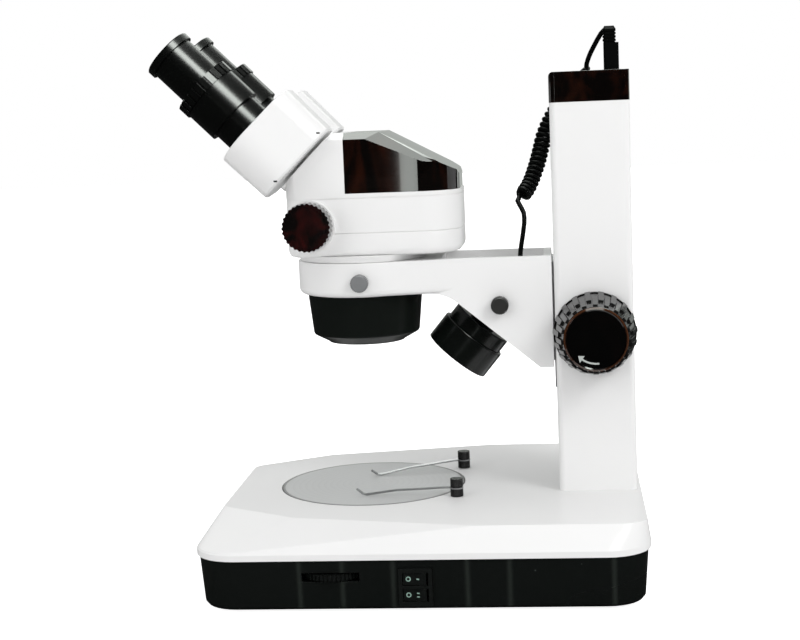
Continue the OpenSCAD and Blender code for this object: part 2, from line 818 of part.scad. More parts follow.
module lead_socket() {
    color("#0f0f0f") translate([0, plug_y, cap_top - 12]) difference() {
        cylinder(r = socket_r, h = 12.6);
        translate([0, 0, 2]) cylinder(r = 3, h = 12);
    }
}

module guide_rail() {
    wall_y = column_y + column_wall;
    color("#8e9194") translate([0, 0, slot_z0 - 8]) linear_extrude(slot_z1 - slot_z0 + 16) {
        for (side = [-1, 1]) scale([side, 1]) polygon([
            [tongue_half + gib_play, wall_y], [tongue_half + gib_play, tongue_neck_y],
            [tongue_flare + gib_play, rack_back_y], [tongue_flare + gib_play, rack_back_y + 2],
            [tongue_flare + 7, rack_back_y + 2], [tongue_flare + 7, wall_y]
        ]);
    }
}

module shaft_bushes() {
    color("#b58a45") translate([0, shaft_y, shaft_z]) both_sides() difference() {
        union() {
            rod_x(column_w / 2 - column_wall - 3, column_w / 2, bush_r);
            rod_x(column_w / 2 - column_wall - 3, column_w / 2 - column_wall, bush_r + 2);
        }
        rod_x(0, column_w, shaft_d / 2 + run_fit);
    }
}

// ---- focus drive ----

function involute_gap(r, base_r) =
    r <= base_r ? 0 : sqrt(pow(r / base_r, 2) - 1) * 180 / PI - acos(base_r / r);

// Half the angle that a tooth fills at radius r.
function tooth_half(r, base_r) =
    90 / pinion_teeth - backlash / 4 / pitch_r * 180 / PI
    + involute_gap(pitch_r, base_r) - involute_gap(r, base_r);

module pinion() {
    base_r = pitch_r * cos(pressure_angle);
    root_r = pitch_r - dedendum;
    tip_r = pitch_r + addendum;
    steps = 5;
    radii = concat([root_r], [for (i = [0 : steps]) base_r + (tip_r - base_r) * i / steps]);
    flank = [for (r = radii) [r, tooth_half(max(r, base_r), base_r)]];
    outline = [for (i = [0 : pinion_teeth - 1])
        let (mid = (i + 0.5) * 360 / pinion_teeth)
        each concat(
            [for (p = flank) [p[0] * cos(mid - p[1]), p[0] * sin(mid - p[1])]],
            [for (k = [len(flank) - 1 : -1 : 0]) let (r = flank[k][0], a = mid + flank[k][1])
                [r * cos(a), r * sin(a)]]
        )];
    extrude_x(pinion_w) rotate(180) polygon(outline);
}

module pinion_shaft() {
    color("#c2c5c8") translate([0, shaft_y, shaft_z]) {
        pinion();
        rod_x(-knob_x - focus_knob_l + 5, knob_x + focus_knob_l - 5, shaft_d / 2);
    }
}

module focus_rack() {
    half_pitch = tooth_pitch / 4 - backlash / 4;
    tip_y = rack_pitch_y + addendum;
    root_y = rack_pitch_y - dedendum;
    lean = tan(pressure_angle);
    below = floor((shaft_z - rack_z0) / tooth_pitch - 0.7);
    above = floor((rack_z1 - shaft_z) / tooth_pitch - 0.7);
    teeth = [for (i = [-below : above]) let (z = shaft_z + i * tooth_pitch) each [
        [root_y, z - half_pitch - dedendum * lean], [tip_y, z - half_pitch + addendum * lean],
        [tip_y, z + half_pitch - addendum * lean], [root_y, z + half_pitch + dedendum * lean]
    ]];
    color("#c9a24e") extrude_x(rack_w)
        polygon(concat(
            [[rack_back_y, rack_z0], [root_y, rack_z0]], teeth, [[root_y, rack_z1], [rack_back_y, rack_z1]]
        ));
}

module carriage() {
    pad_half = arm_w / 2 - 4;
    color("#5c5f62") {
        translate([0, 0, carriage_z0]) linear_extrude(carriage_z1 - carriage_z0) polygon([
            [-tongue_half, arm_rear_y + 0.5], [tongue_half, arm_rear_y + 0.5], [tongue_half, tongue_neck_y],
            [tongue_flare, rack_back_y], [-tongue_flare, rack_back_y], [-tongue_half, tongue_neck_y]
        ]);
        translate([-pad_half, arm_rear_y, arm_foot_z + 4])
            cube([2 * pad_half, column_y - arm_rear_y - face_gap, arm_top - arm_foot_z - 8]);
    }
}

module focus_hub() {
    translate([0, shaft_y, shaft_z]) difference() {
        union() {
            rod_x(knob_x, knob_x + knob_ring_t, focus_ring_d / 2);
            rod_x(knob_x, knob_x + focus_knob_l - 3, grip_bore_r);
        }
        rod_x(0, 2 * knob_x + focus_knob_l, shaft_d / 2);
    }
}

module focus_hub_right() { color("#161616") focus_hub(); }

module focus_hub_left() { color("#161616") mirror([1, 0, 0]) focus_hub(); }

// Rows of raised blocks on a stepped sleeve, each row turned by half a block.
module focus_grips() {
    row_l = grip_l / grip_rows;
    r_start = focus_ring_d / 2 - 1;
    r_end = focus_face_d / 2 + 1;
    color("#232423") translate([0, shaft_y, shaft_z]) both_sides() {
        for (row = [0 : grip_rows - 1]) {
            r = r_start + (r_end - r_start) * (row + 0.5) / grip_rows;
            x0 = knob_x + knob_ring_t + row * row_l;
            translate([x0, 0, 0]) rotate([0, 90, 0]) difference() {
                union() {
                    cylinder(r = r - grip_relief, h = row_l);
                    translate([0, 0, 0.4]) rotate(row % 2 * 180 / grip_blocks)
                        knurled(grip_blocks, r, grip_relief + 0.6, row_l - 0.8, 0.78);
                }
                translate([0, 0, -1]) cylinder(r = grip_bore_r, h = row_l + 2);
            }
        }
    }
}

module focus_faces() {
    x0 = knob_x + focus_knob_l - 3;
    color("#241410") translate([0, shaft_y, shaft_z]) both_sides()
        translate([x0, 0, 0]) rotate([0, 90, 0]) rotate_extrude() polygon([
            [0, 0], [focus_face_d / 2, 0], [focus_face_d / 2, 1.6], [focus_face_d / 2 - 1.2, 3],
            [focus_face_d / 2 - 2, 2.4], [0, 2.4]
        ]);
}

// ---- arm ----

module arm_profile() {
    turn = [for (i = [0 : 10]) let (a = 90 - arm_slope * i / 10)
        [slope_y - fillet_run + arm_fillet * cos(a), ring_bottom - arm_fillet + arm_fillet * sin(a)]];
    foot_y = slope_y + (ring_bottom - arm_foot_z) / tan(arm_slope);
    polygon(concat([[0, arm_top], [0, ring_bottom]], turn,
                   [[foot_y, arm_foot_z], [arm_rear_y, arm_foot_z], [arm_rear_y, arm_top]]));
}

// Local +Z runs from the lamp's pivot along the beam, local +Y up the slope.
module on_lamp() {
    translate([0, lamp_y, lamp_z]) rotate([lamp_turn, 0, 0]) children();
}

// One level of the web that leads from the ring to the arm, kept just inside the ring.
module web_slab(inset, h) {
    corner_r = 1;
    cylinder(r = ring_r - 0.05 - inset, h = h, $fn = ring_fn);
    for (side = [-1, 1])
        translate([side * (arm_w / 2 - inset - corner_r), web_end_y, 0])
            cylinder(r = corner_r, h = h, $fn = 24);
}

// The head ring, with its lower edge rounded, and the web.
module head_ring() {
    translate([0, 0, ring_bottom + ring_edge]) cylinder(r = ring_r, h = ring_h - ring_edge);
    translate([0, 0, ring_bottom]) rotate_extrude() {
        square([ring_r - ring_edge, ring_edge + 0.5]);
        intersection() {
            translate([ring_r - ring_edge, ring_edge]) circle(ring_edge);
            square([ring_r, ring_edge]);
        }
    }
    translate([0, 0, ring_bottom]) hull() {
        web_slab(ring_edge, 0.1);
        translate([0, 0, 0.13 * ring_edge]) web_slab(ring_edge / 2, 0.1);
        translate([0, 0, 0.42 * ring_edge]) web_slab(0.185 * ring_edge, 0.1);
        translate([0, 0, ring_edge]) web_slab(0, ring_h - ring_edge);
    }
}

module arm() {
    color("#f3f3f1") difference() {
        union() {
            extrude_x(arm_w) arm_profile();
            head_ring();
        }
        translate([0, 0, ring_bottom - 1]) cylinder(r = seat_r + run_fit, h = ring_h + 2);
        translate([-pocket_half, recess_y0, recess_floor])
            cube([2 * pocket_half, recess_y1 - recess_y0, recess_h + 1]);
        intersection() {
            on_lamp() translate([-pocket_half, -lamp_back_room, -20])
                cube([2 * pocket_half, lamp_swing_room + lamp_back_room, 90]);
            translate([-arm_w, 0, 0]) cube([2 * arm_w, arm_rear_y - 4, pocket_top]);
        }
        translate([0, lamp_y, lamp_z]) rod_x(-arm_w, arm_w, lamp_pin_d / 2 + run_fit);
        translate([0, lock_y, lock_z]) rod_x(0, ring_r + 2, lock_screw_d / 2 + run_fit);
        translate([gland_x, gland_y, recess_floor - 10]) cylinder(r = gland_r, h = 12);
    }
}

module lock_knob(x0, l) {
    translate([x0, 0, 0]) rotate([0, 90, 0]) {
        knurled(30, lock_knob_d / 2, 0.3, l - 0.6);
        translate([0, 0, l - 0.61]) cylinder(d1 = lock_knob_d - 0.7, d2 = lock_knob_d - 1.8, h = 0.6);
    }
}

module ring_lock_screw() {
    color("#8b8d8e") translate([0, lock_y, lock_z]) {
        rod_x(seat_r + 0.3, ring_r + 1, lock_screw_d / 2);
        lock_knob(ring_r + 0.5, 6);
    }
}

module lamp_lock_screw() {
    color("#2a2b2c") translate([0, lamp_y, lamp_z]) {
        rod_x(-arm_w / 2 + 1, arm_w / 2 + 2, lamp_pin_d / 2);
        lock_knob(arm_w / 2 + 0.5, 7);
    }
}

module lead_gland() {
    color("#121212") translate([gland_x, gland_y, 0]) {
        translate([0, 0, recess_floor - 4]) cylinder(r = gland_r, h = 4);
        translate([0, 0, recess_floor]) cylinder(r = gland_r + 1.6, h = 1.6);
        translate([0, 0, recess_floor + 1.6])
            cylinder(r1 = 3.4, r2 = lead_d / 2 + 0.5, h = gland_top - recess_floor - 1.6);
    }
}

// ---- lamp ----

module lamp_barrel() {
    color("#121313") on_lamp() difference() {
        union() {
            rod_x(-eye_w / 2, eye_w / 2, eye_r);
            cylinder(r = neck_r, h = barrel_start + 2);
            translate([0, 0, barrel_start]) cylinder(r1 = barrel_d / 2 - 0.8, r2 = barrel_d / 2, h = 0.8);
            translate([0, 0, barrel_start + 0.8]) cylinder(d = barrel_d, h = hood_start - barrel_start + 3);
        }
        rod_x(-eye_w, eye_w, lamp_pin_d / 2 + run_fit);
        translate([0, 0, barrel_start + 4]) cylinder(r = barrel_d / 2 - 3, h = 30);
    }
}

module lamp_hood() {
    hood_end = hood_start + hood_l;
    color("#121313") on_lamp() difference() {
        translate([0, 0, hood_start]) rotate_extrude() polygon([
            [0, 0], [hood_d / 2 - 0.6, 0], [hood_d / 2, 0.6], [hood_d / 2, hood_l], [0, hood_l]
        ]);
        translate([0, 0, hood_start - 1]) cylinder(d = barrel_d - 8, h = hood_l + 2);
        translate([0, 0, hood_start - 1]) cylinder(d = barrel_d, h = 1 + 3.8);
        translate([0, 0, hood_end - 8]) cylinder(d1 = barrel_d - 8, d2 = hood_d - 3, h = 8.1);
    }
}

module lamp_lens() {
    color("#dfe6ea") on_lamp() translate([0, 0, hood_start + 3.8]) intersection() {
        cylinder(d = barrel_d - 8, h = 4);
        translate([0, 0, -36]) sphere(r = 40);
    }
}

// ---- lead from the cap to the arm ----

// The plug's body, a ribbed relief that ends in a rounded top, and the pin in the socket.
module lead_plug() {
    body_l = plug_h * 0.62;
    relief_w = plug_w - 1.2;
    relief_t = plug_w * 0.68;
    rib_pitch = (plug_h - body_l - 2) / 4;
    color("#141414") translate([0, plug_y, plug_z + plug_gap]) {
        linear_extrude(body_l) rounded_rect(plug_w * 0.8, plug_w, 1.5);
        translate([0, -1, body_l - 0.5]) {
            linear_extrude(4 * rib_pitch + 0.5) rounded_rect(relief_t - 1, relief_w - 1, 1.4);
            for (i = [0 : 3]) translate([0, 0, (i + 0.4) * rib_pitch + 0.5])
                linear_extrude(rib_pitch * 0.6) rounded_rect(relief_t, relief_w, 1.8);
            hull() {
                translate([0, 0, 4 * rib_pitch]) linear_extrude(0.5)
                    rounded_rect(relief_t, relief_w, 1.8, $fn = 24);
                translate([0, 0, 4 * rib_pitch + 2]) linear_extrude(0.5)
                    rounded_rect(relief_t - 2.4, relief_w - 2.4, 1, $fn = 24);
            }
        }
        translate([0, 0, -8.6]) cylinder(r = 2.9, h = 9);
    }
}

module lead_upper() { color("#111111") route_tube(upper_route, lead_d / 2, 8); }

module lead_coil() { color("#111111") route_tube(coil_route, coil_d / 2, 12); }

module lead_lower() { color("#111111") route_tube(lower_route, lead_d / 2, 8); }

// ---- head ----

module head_plan(inset) {
    w = head_w / 2 - inset;
    front = -head_front + inset;
    rear = head_rear - inset;
    rr = head_rear_r - inset;
    rf = head_front_r - min(inset, 3);
    translate([-w + rf, front]) square([2 * (w - rf), rear - rr - front]);
    translate([-w, front + rf]) square([2 * w, rear - rr - front - rf]);
    translate([-w + rr, rear - rr - 1]) square([2 * (w - rr), rr + 1]);
    for (side = [-1, 1]) {
        translate([side * (w - rf), front + rf]) circle(rf);
        translate([side * (w - rr), rear - rr]) circle(rr);
    }
}

module head_slab(inset, z0, z1) {
    translate([0, 0, z0]) linear_extrude(z1 - z0) head_plan(inset);
}

module head_lower_case() {
    color("#f4f4f2") difference() {
        union() {
            hull($fn = hull_fn) {
                head_slab(4.5, head_z, head_z + 0.1, $fn = hull_fn);
                head_slab(1.8, head_z + 0.9, head_z + 1, $fn = hull_fn);
                head_slab(0.5, head_z + 2.6, head_z + 2.7, $fn = hull_fn);
                head_slab(0, head_z + 5, lower_seam_z, $fn = hull_fn);
            }
            translate([0, 0, arm_top + seat_gap])
                cylinder(r1 = flange_r, r2 = flange_r + flange_flare, h = head_z - arm_top - seat_gap + 0.3);
            translate([0, 0, spigot_z]) cylinder(r = seat_r, h = head_z - spigot_z);
        }
        for (side = [-1, 1]) {
            translate([side * objective_x, 0, spigot_z - 1]) cylinder(r = objective_r, h = 13);
            translate([side * objective_x, 0, spigot_z - 1]) cylinder(r = objective_r - 1.4, h = head_z);
        }
    }
}

// A round boss under each zoom knob, kept off the lower case.
module zoom_boss() {
    difference() {
        translate([0, zoom_y, zoom_z]) rod_x(head_w / 2 - 1, head_w / 2 + boss_proud, zoom_d / 2 + 1);
        translate([0, zoom_y - zoom_d, lower_seam_z + 0.5 - zoom_d]) cube([head_w / 2, 2 * zoom_d, zoom_d]);
    }
}

module head_middle_case() {
    color("#f4f4f2") difference() {
        union() {
            head_slab(0.4, lower_seam_z, lower_seam_z + 0.5);
            head_slab(0, lower_seam_z + 0.5, upper_seam_z);
            both_sides() zoom_boss();
        }
        translate([0, zoom_y, zoom_z]) rod_x(-head_w, head_w, zoom_shaft_d / 2 + run_fit);
        translate([-head_w / 2 + 6, -8, lower_seam_z - 1])
            cube([head_w - 12, head_rear - 24, upper_seam_z - lower_seam_z - 4]);
    }
}

// Front view of the upper case: the sides lean in a little and a wide bevel leads to the top.
module head_front_view() {
    polygon([
        [-head_w / 2, upper_seam_z], [-head_w / 2, ledge_z], [-bevel_x0, bevel_z], [-bevel_x1, head_top],
        [bevel_x1, head_top], [bevel_x0, bevel_z], [head_w / 2, ledge_z], [head_w / 2, upper_seam_z]
    ]);
}

module head_upper_case() {
    incline_top_y = -head_front + head_top - incline_z;
    color("#f4f4f2") difference() {
        intersection() {
            union() {
                head_slab(0.4, upper_seam_z, upper_seam_z + 0.5);
                head_slab(0, upper_seam_z + 0.5, head_top);
            }
            extrude_y(-head_front - 1, head_rear + 1) head_front_view();
            extrude_x(head_w) polygon([
                [-head_front, upper_seam_z], [-head_front, incline_z], [incline_top_y, head_top],
                [hood_front_y, head_top], [hood_front_y, ledge_z], [head_rear, ledge_z],
                [head_rear, upper_seam_z]
            ]);
        }
        both_sides() on_pivot() translate([0, 0, -trunnion_l - 1])
            cylinder(r = trunnion_r + run_fit, h = trunnion_l + 2);
    }
}

// Glossy cover behind the upper case: a flat side panel, a bevel and a top that falls to the rear.
module head_hood() {
    front = hood_front_y;
    rear = head_rear - 0.8;
    color("#1c100c") intersection() {
        head_slab(0.8, ledge_z, head_top);
        hull() {
            extrude_x(2 * bevel_x0) polygon([
                [front, ledge_z], [front, bevel_z], [front + 14, bevel_z], [rear, ledge_z + 9.5],
                [rear, ledge_z]
            ]);
            extrude_x(2 * bevel_x1) polygon([
                [front, bevel_z], [front, head_top], [front + 22.5, head_top], [rear - 1.5, ledge_z + 12.5],
                [rear, ledge_z + 9.5]
            ]);
        }
    }
}

module objective_shroud() {
    color("#131414") rotate_extrude() polygon([
        [aux_thread_d / 2, shroud_z], [aux_face_r, shroud_z], [aux_face_r + 0.8, shroud_z + 0.8],
        [shroud_low_r - 1.6, shroud_low_z - 0.9], [shroud_low_r - 0.5, shroud_low_z - 0.2],
        [shroud_low_r, shroud_low_z + 0.9], [shroud_d / 2, spigot_z - 0.3],
        [shroud_d / 2 - 0.3, spigot_z], [shroud_d / 2 - 6, spigot_z], [shroud_low_r - 4, shroud_low_z + 2],
        [aux_thread_d / 2 + 3, shroud_z + aux_thread_l], [aux_thread_d / 2, shroud_z + aux_thread_l]
    ]);
}

module objective_lenses() {
    color("#8fb0a0") for (side = [-1, 1])
        translate([side * objective_x, 0, spigot_z + 4]) cylinder(r = objective_r, h = 8);
}

module zoom_shaft() {
    color("#c2c5c8") translate([0, zoom_y, zoom_z]) rod_x(-zoom_end, zoom_end, zoom_shaft_d / 2);
}

module zoom_knobs() {
    x0 = head_w / 2 + boss_proud + face_gap;
    color("#2a1712") translate([0, zoom_y, zoom_z]) both_sides()
        translate([x0, 0, 0]) rotate([0, 90, 0]) difference() {
            union() {
                linear_extrude(zoom_l) scalloped(zoom_scallops, zoom_d / 2, 1.2);
                translate([0, 0, zoom_l - 0.1]) cylinder(r = zoom_d / 2 - 2.6, h = 0.5);
            }
            translate([0, 0, -1]) cylinder(d = zoom_shaft_d, h = zoom_l - 2);
        }
}

// ---- prism boxes and eyepieces ----

// Local +Z is the eyepieces' direction, local +Y runs up the incline.
module on_incline() {
    translate([0, -head_front, incline_z]) rotate([45, 0, 0]) children();
}

module on_pivot() {
    on_incline() translate([pivot_x, pivot_up, 0]) children();
}

module on_eye() {
    on_incline() translate([eye_x, pivot_up - eye_drop, 0]) children();
}

module box_outline(inset, z0, z1) {
    rounds = [[6, 14, 12], [24, 11, 15], [22, -12.5, 22], [0, -1, 13], [9, -20, 12]];
    for (c = rounds) translate([c[0], c[1], z0]) cylinder(r = c[2] - inset, h = z1 - z0, $fn = 48);
}

module prism_box() {
    difference() {
        union() {
            on_pivot() hull() {
                box_outline(1.6, box_gap, box_gap + 0.1);
                box_outline(0.6, box_gap + 1.2, box_gap + 1.3);
                box_outline(0, box_top - 0.7, box_top - 0.6);
                box_outline(0.6, box_top - 0.1, box_top);
            }
            on_pivot() translate([0, 0, -trunnion_l]) cylinder(r = trunnion_r, h = trunnion_l + box_gap + 1);
        }
        on_eye() translate([0, 0, box_top - 10]) cylinder(r = eyepiece_d / 2 + 1, h = 11);
    }
}

module eye_tube() {
    on_eye() difference() {
        union() {
            translate([0, 0, box_top - 10]) cylinder(r = eyepiece_d / 2 + 1, h = 11);
            translate([0, 0, box_top]) cylinder(r = collar_r, h = collar_l + 1);
            translate([0, 0, collar_top]) cylinder(d = sleeve_d, h = sleeve_l);
            translate([0, 0, collar_top]) cylinder(r = collar_r, h = sleeve_l + dioptre_l - 0.6);
        }
        translate([0, 0, box_top - 8]) cylinder(d = eyepiece_d + 2 * run_fit, h = 100);
    }
}

module dioptre_ring() {
    on_eye() translate([0, 0, sleeve_top + 0.2]) difference() {
        knurled(dioptre_ribs, dioptre_d / 2, 0.9, dioptre_l - 0.4, 0.8);
        translate([0, 0, -1]) cylinder(r = collar_r + run_fit, h = dioptre_l + 2);
    }
}

module eyepiece() {
    on_eye() difference() {
        union() {
            translate([0, 0, collar_top - 4]) cylinder(d = eyepiece_d, h = eye_top - collar_top + 1);
            translate([0, 0, eye_top - rim_l]) rotate_extrude() polygon([
                [0, 0], [eye_rim_d / 2, 0], [eye_rim_d / 2, rim_l - 0.6], [eye_rim_d / 2 - 0.6, rim_l],
                [0, rim_l]
            ]);
        }
        translate([0, 0, eye_top - 4]) cylinder(r = lens_r, h = 5);
        translate([0, 0, collar_top - 5]) cylinder(r = lens_r - 1, h = eye_top);
        translate([0, 0, eye_top - 1.2]) cylinder(r1 = lens_r, r2 = lens_r + 1.6, h = 1.3);
    }
}

module eye_lens() {
    on_eye() translate([0, 0, eye_top - 4]) cylinder(r = lens_r, h = 2.4);
}

module prism_box_right() { color("#f4f4f2") prism_box(); }

module eye_tube_right() { color("#151616") eye_tube(); }

module dioptre_ring_right() { color("#151616") dioptre_ring(); }

module eyepiece_right() { color("#151616") eyepiece(); }

module eye_lens_right() { color("#5f6f78") eye_lens(); }

module prism_box_left() { color("#f4f4f2") mirror([1, 0, 0]) prism_box(); }

module eye_tube_left() { color("#151616") mirror([1, 0, 0]) eye_tube(); }

module dioptre_ring_left() { color("#151616") mirror([1, 0, 0]) dioptre_ring(); }

module eyepiece_left() { color("#151616") mirror([1, 0, 0]) eyepiece(); }

module eye_lens_left() { color("#5f6f78") mirror([1, 0, 0]) eye_lens(); }

base_housing();
bottom_plate();
rubber_feet();
base_screws();
deck_cover();
stage_plate();
stage_lamp();
control_board();
power_inlet();
switch_panel();
rocker_upper();
rocker_lower();
wheel_right();
wheel_left();
clip_post_right();
clip_spring_right();
clip_post_left();
clip_spring_left();
column_shell();
column_cap();
lead_socket();
guide_rail();
shaft_bushes();
pinion_shaft();
focus_hub_right();
focus_hub_left();
focus_grips();
focus_faces();
carriage();
focus_rack();
arm();
lead_gland();
ring_lock_screw();
lamp_lock_screw();
lamp_barrel();
lamp_hood();
lamp_lens();
lead_plug();
lead_upper();
lead_coil();
lead_lower();
head_lower_case();
head_middle_case();
head_upper_case();
head_hood();
objective_shroud();
objective_lenses();
zoom_shaft();
zoom_knobs();
prism_box_right();
eye_tube_right();
dioptre_ring_right();
eyepiece_right();
eye_lens_right();
prism_box_left();
eye_tube_left();
dioptre_ring_left();
eyepiece_left();
eye_lens_left();
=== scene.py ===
import json
import math
import bmesh
import bpy
from mathutils import Matrix, Vector


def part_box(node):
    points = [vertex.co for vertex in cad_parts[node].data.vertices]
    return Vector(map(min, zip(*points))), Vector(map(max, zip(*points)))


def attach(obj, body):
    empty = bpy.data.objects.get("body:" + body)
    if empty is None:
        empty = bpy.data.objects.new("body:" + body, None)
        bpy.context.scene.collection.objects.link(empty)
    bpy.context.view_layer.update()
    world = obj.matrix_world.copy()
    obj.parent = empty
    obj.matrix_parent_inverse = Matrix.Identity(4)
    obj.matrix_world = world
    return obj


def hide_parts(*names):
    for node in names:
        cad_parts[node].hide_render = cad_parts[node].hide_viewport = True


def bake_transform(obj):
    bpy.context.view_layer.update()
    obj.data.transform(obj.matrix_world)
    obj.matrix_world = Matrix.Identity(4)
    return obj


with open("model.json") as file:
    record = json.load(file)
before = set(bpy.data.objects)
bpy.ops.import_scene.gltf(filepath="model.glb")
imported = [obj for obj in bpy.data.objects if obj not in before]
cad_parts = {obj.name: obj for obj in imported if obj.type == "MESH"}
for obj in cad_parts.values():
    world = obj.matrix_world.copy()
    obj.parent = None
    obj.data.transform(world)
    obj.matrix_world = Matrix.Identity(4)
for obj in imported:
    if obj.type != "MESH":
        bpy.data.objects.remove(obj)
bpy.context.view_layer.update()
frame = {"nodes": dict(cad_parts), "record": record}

nodes = frame["nodes"]
scene = bpy.context.scene
mm = 0.001

viewpoint = {
    "place": (1.04126, 0.12880, 0.29914),
    "turn": (82.373, 2.328, 95.532),    # degrees about X, Y and Z
    "lens": 71.63,
    "sensor": 36.0,
    "near": 0.02,
    "far": 50,
}


def setCamera(view):
    data = bpy.data.cameras.new("studioCamera")
    data.sensor_width = view["sensor"]
    data.lens = view["lens"]
    data.clip_start = view["near"]
    data.clip_end = view["far"]
    camera = bpy.data.objects.new("studioCamera", data)
    scene.collection.objects.link(camera)
    camera.location = view["place"]
    camera.rotation_euler = [math.radians(a) for a in view["turn"]]
    scene.camera = camera


setCamera(viewpoint)
print("camera set")


# shader groups, each built once
def addNode(tree, kind, place=(0, 0), **settings):
    node = tree.nodes.new("ShaderNode" + kind if not kind.startswith("NodeGroup") else kind)
    node.location = place
    for key, value in settings.items():
        setattr(node, key, value)
    return node


def wire(tree, source, target):
    tree.links.new(source, target)


def shaderGroup(name, inputs, outputs):
    group = bpy.data.node_groups.new(name, "ShaderNodeTree")
    for label, kind, value in inputs:
        socket = group.interface.new_socket(name=label, in_out="INPUT",
                                            socket_type="NodeSocket" + kind)
        socket.default_value = value
    for label, kind in outputs:
        group.interface.new_socket(name=label, in_out="OUTPUT", socket_type="NodeSocket" + kind)
    entry = addNode(group, "NodeGroupInput", (-900, 0))
    out = addNode(group, "NodeGroupOutput", (700, 0))
    coords = addNode(group, "TexCoord", (-900, 300))
    return group, entry.outputs, out.inputs, coords.outputs["Object"]


def mathNode(tree, operation, place, first, second=None, clamp=False):
    node = addNode(tree, "Math", place, operation=operation, use_clamp=clamp)
    for socket, value in zip(node.inputs, (first, second)):
        if value is None:
            continue
        if isinstance(value, (int, float)):
            socket.default_value = value
        else:
            wire(tree, value, socket)
    return node.outputs[0]


def vectorNode(tree, operation, place, first, second=None):
    node = addNode(tree, "VectorMath", place, operation=operation)
    wire(tree, first, node.inputs[0])
    if second is not None:
        wire(tree, second, node.inputs[1])
    return node.outputs["Value" if operation == "LENGTH" else "Vector"]


def noiseNode(tree, place, vector, scale, detail, twist=0.0):
    node = addNode(tree, "TexNoise", place, noise_dimensions="3D")
    node.inputs["Detail"].default_value = detail
    node.inputs["Distortion"].default_value = twist
    wire(tree, vector, node.inputs["Vector"])
    wire(tree, scale, node.inputs["Scale"])
    return node.outputs["Fac"]


def mixColour(tree, place, share, first, second):
    mix = addNode(tree, "Mix", place, data_type="RGBA")
    wire(tree, share, mix.inputs["Factor"])
    for socket, colour in ((mix.inputs["A"], first), (mix.inputs["B"], second)):
        if isinstance(colour, tuple):
            socket.default_value = (*colour, 1)
        else:
            wire(tree, colour, socket)
    return mix.outputs["Result"]


def unevenRoughness(tree, place, pattern, level, amount):
    # the level, swung up and down by how far the pattern is from its middle
    x, y = place
    centred = mathNode(tree, "SUBTRACT", (x, y), pattern, 0.5)
    swing = mathNode(tree, "MULTIPLY", (x + 200, y), centred, amount)
    return mathNode(tree, "ADD", (x + 400, y), level, swing, clamp=True)


def buildSkinGroup():
    group, given, out, coords = shaderGroup(
        "surfaceSkin",
        [("Grain Scale", "Float", 900.0), ("Patch Scale", "Float", 14.0),
         ("Roughness", "Float", 0.4), ("Patchiness", "Float", 0.05)],
        [("Height", "Float"), ("Roughness", "Float"), ("Patch", "Float")])
    grain = noiseNode(group, (-400, 250), coords, given["Grain Scale"], detail=3)
    patch = noiseNode(group, (-400, -50), coords, given["Patch Scale"], detail=2)
    rough = unevenRoughness(group, (-150, -50), patch, given["Roughness"], given["Patchiness"])
    wire(group, grain, out["Height"])
    wire(group, rough, out["Roughness"])
    wire(group, patch, out["Patch"])
    return group


def buildSmokeGroup(shape):
    group, given, out, coords = shaderGroup(
        "smokeVeins",
        [("Dark", "Color", (0.01, 0.01, 0.01, 1)), ("Warm", "Color", (0.06, 0.02, 0.01, 1)),
         ("Scale", "Float", 30.0), ("Stretch", "Vector", (1.0, 1.0, 0.35)), ("Amount", "Float", 0.5)],
        [("Color", "Color")])
    stretched = vectorNode(group, "MULTIPLY", (-650, 200), coords, given["Stretch"])
    veins = noiseNode(group, (-400, 200), stretched, given["Scale"], shape["detail"], shape["twist"])
    band = addNode(group, "MapRange", (-150, 200), clamp=True)
    band.inputs["From Min"].default_value = shape["start"]
    band.inputs["From Max"].default_value = shape["full"]
    wire(group, veins, band.inputs["Value"])
    share = mathNode(group, "MULTIPLY", (100, 200), band.outputs[0], given["Amount"], clamp=True)
    wire(group, mixColour(group, (350, 100), share, given["Dark"], given["Warm"]), out["Color"])
    return group


def buildBrushGroup():
    group, given, out, coords = shaderGroup(
        "toolMarks",
        [("Direction", "Vector", (1.0, 1.0, 40.0)), ("Scale", "Float", 60.0),
         ("Roughness", "Float", 0.3), ("Depth", "Float", 0.12)],
        [("Height", "Float"), ("Roughness", "Float")])
    along = vectorNode(group, "MULTIPLY", (-600, 200), coords, given["Direction"])
    lines = noiseNode(group, (-350, 200), along, given["Scale"], detail=2)
    rough = unevenRoughness(group, (-100, 0), lines, given["Roughness"], given["Depth"])
    wire(group, lines, out["Height"])
    wire(group, rough, out["Roughness"])
    return group


def buildFleckGroup():
    group, given, out, coords = shaderGroup(
        "dustFlecks",
        [("Scale", "Float", 160.0), ("Size", "Float", 0.10), ("Share", "Float", 0.35)],
        [("Mask", "Float")])
    cells = addNode(group, "TexVoronoi", (-500, 200), voronoi_dimensions="3D", feature="F1")
    wire(group, coords, cells.inputs["Vector"])
    wire(group, given["Scale"], cells.inputs["Scale"])
    near = mathNode(group, "LESS_THAN", (-200, 200), cells.outputs["Distance"], given["Size"])
    pick = addNode(group, "SeparateColor", (-300, -50))
    wire(group, cells.outputs["Color"], pick.inputs[0])
    few = mathNode(group, "LESS_THAN", (-50, -50), pick.outputs[0], given["Share"])
    wire(group, mathNode(group, "MULTIPLY", (200, 100), near, few), out["Mask"])
    return group


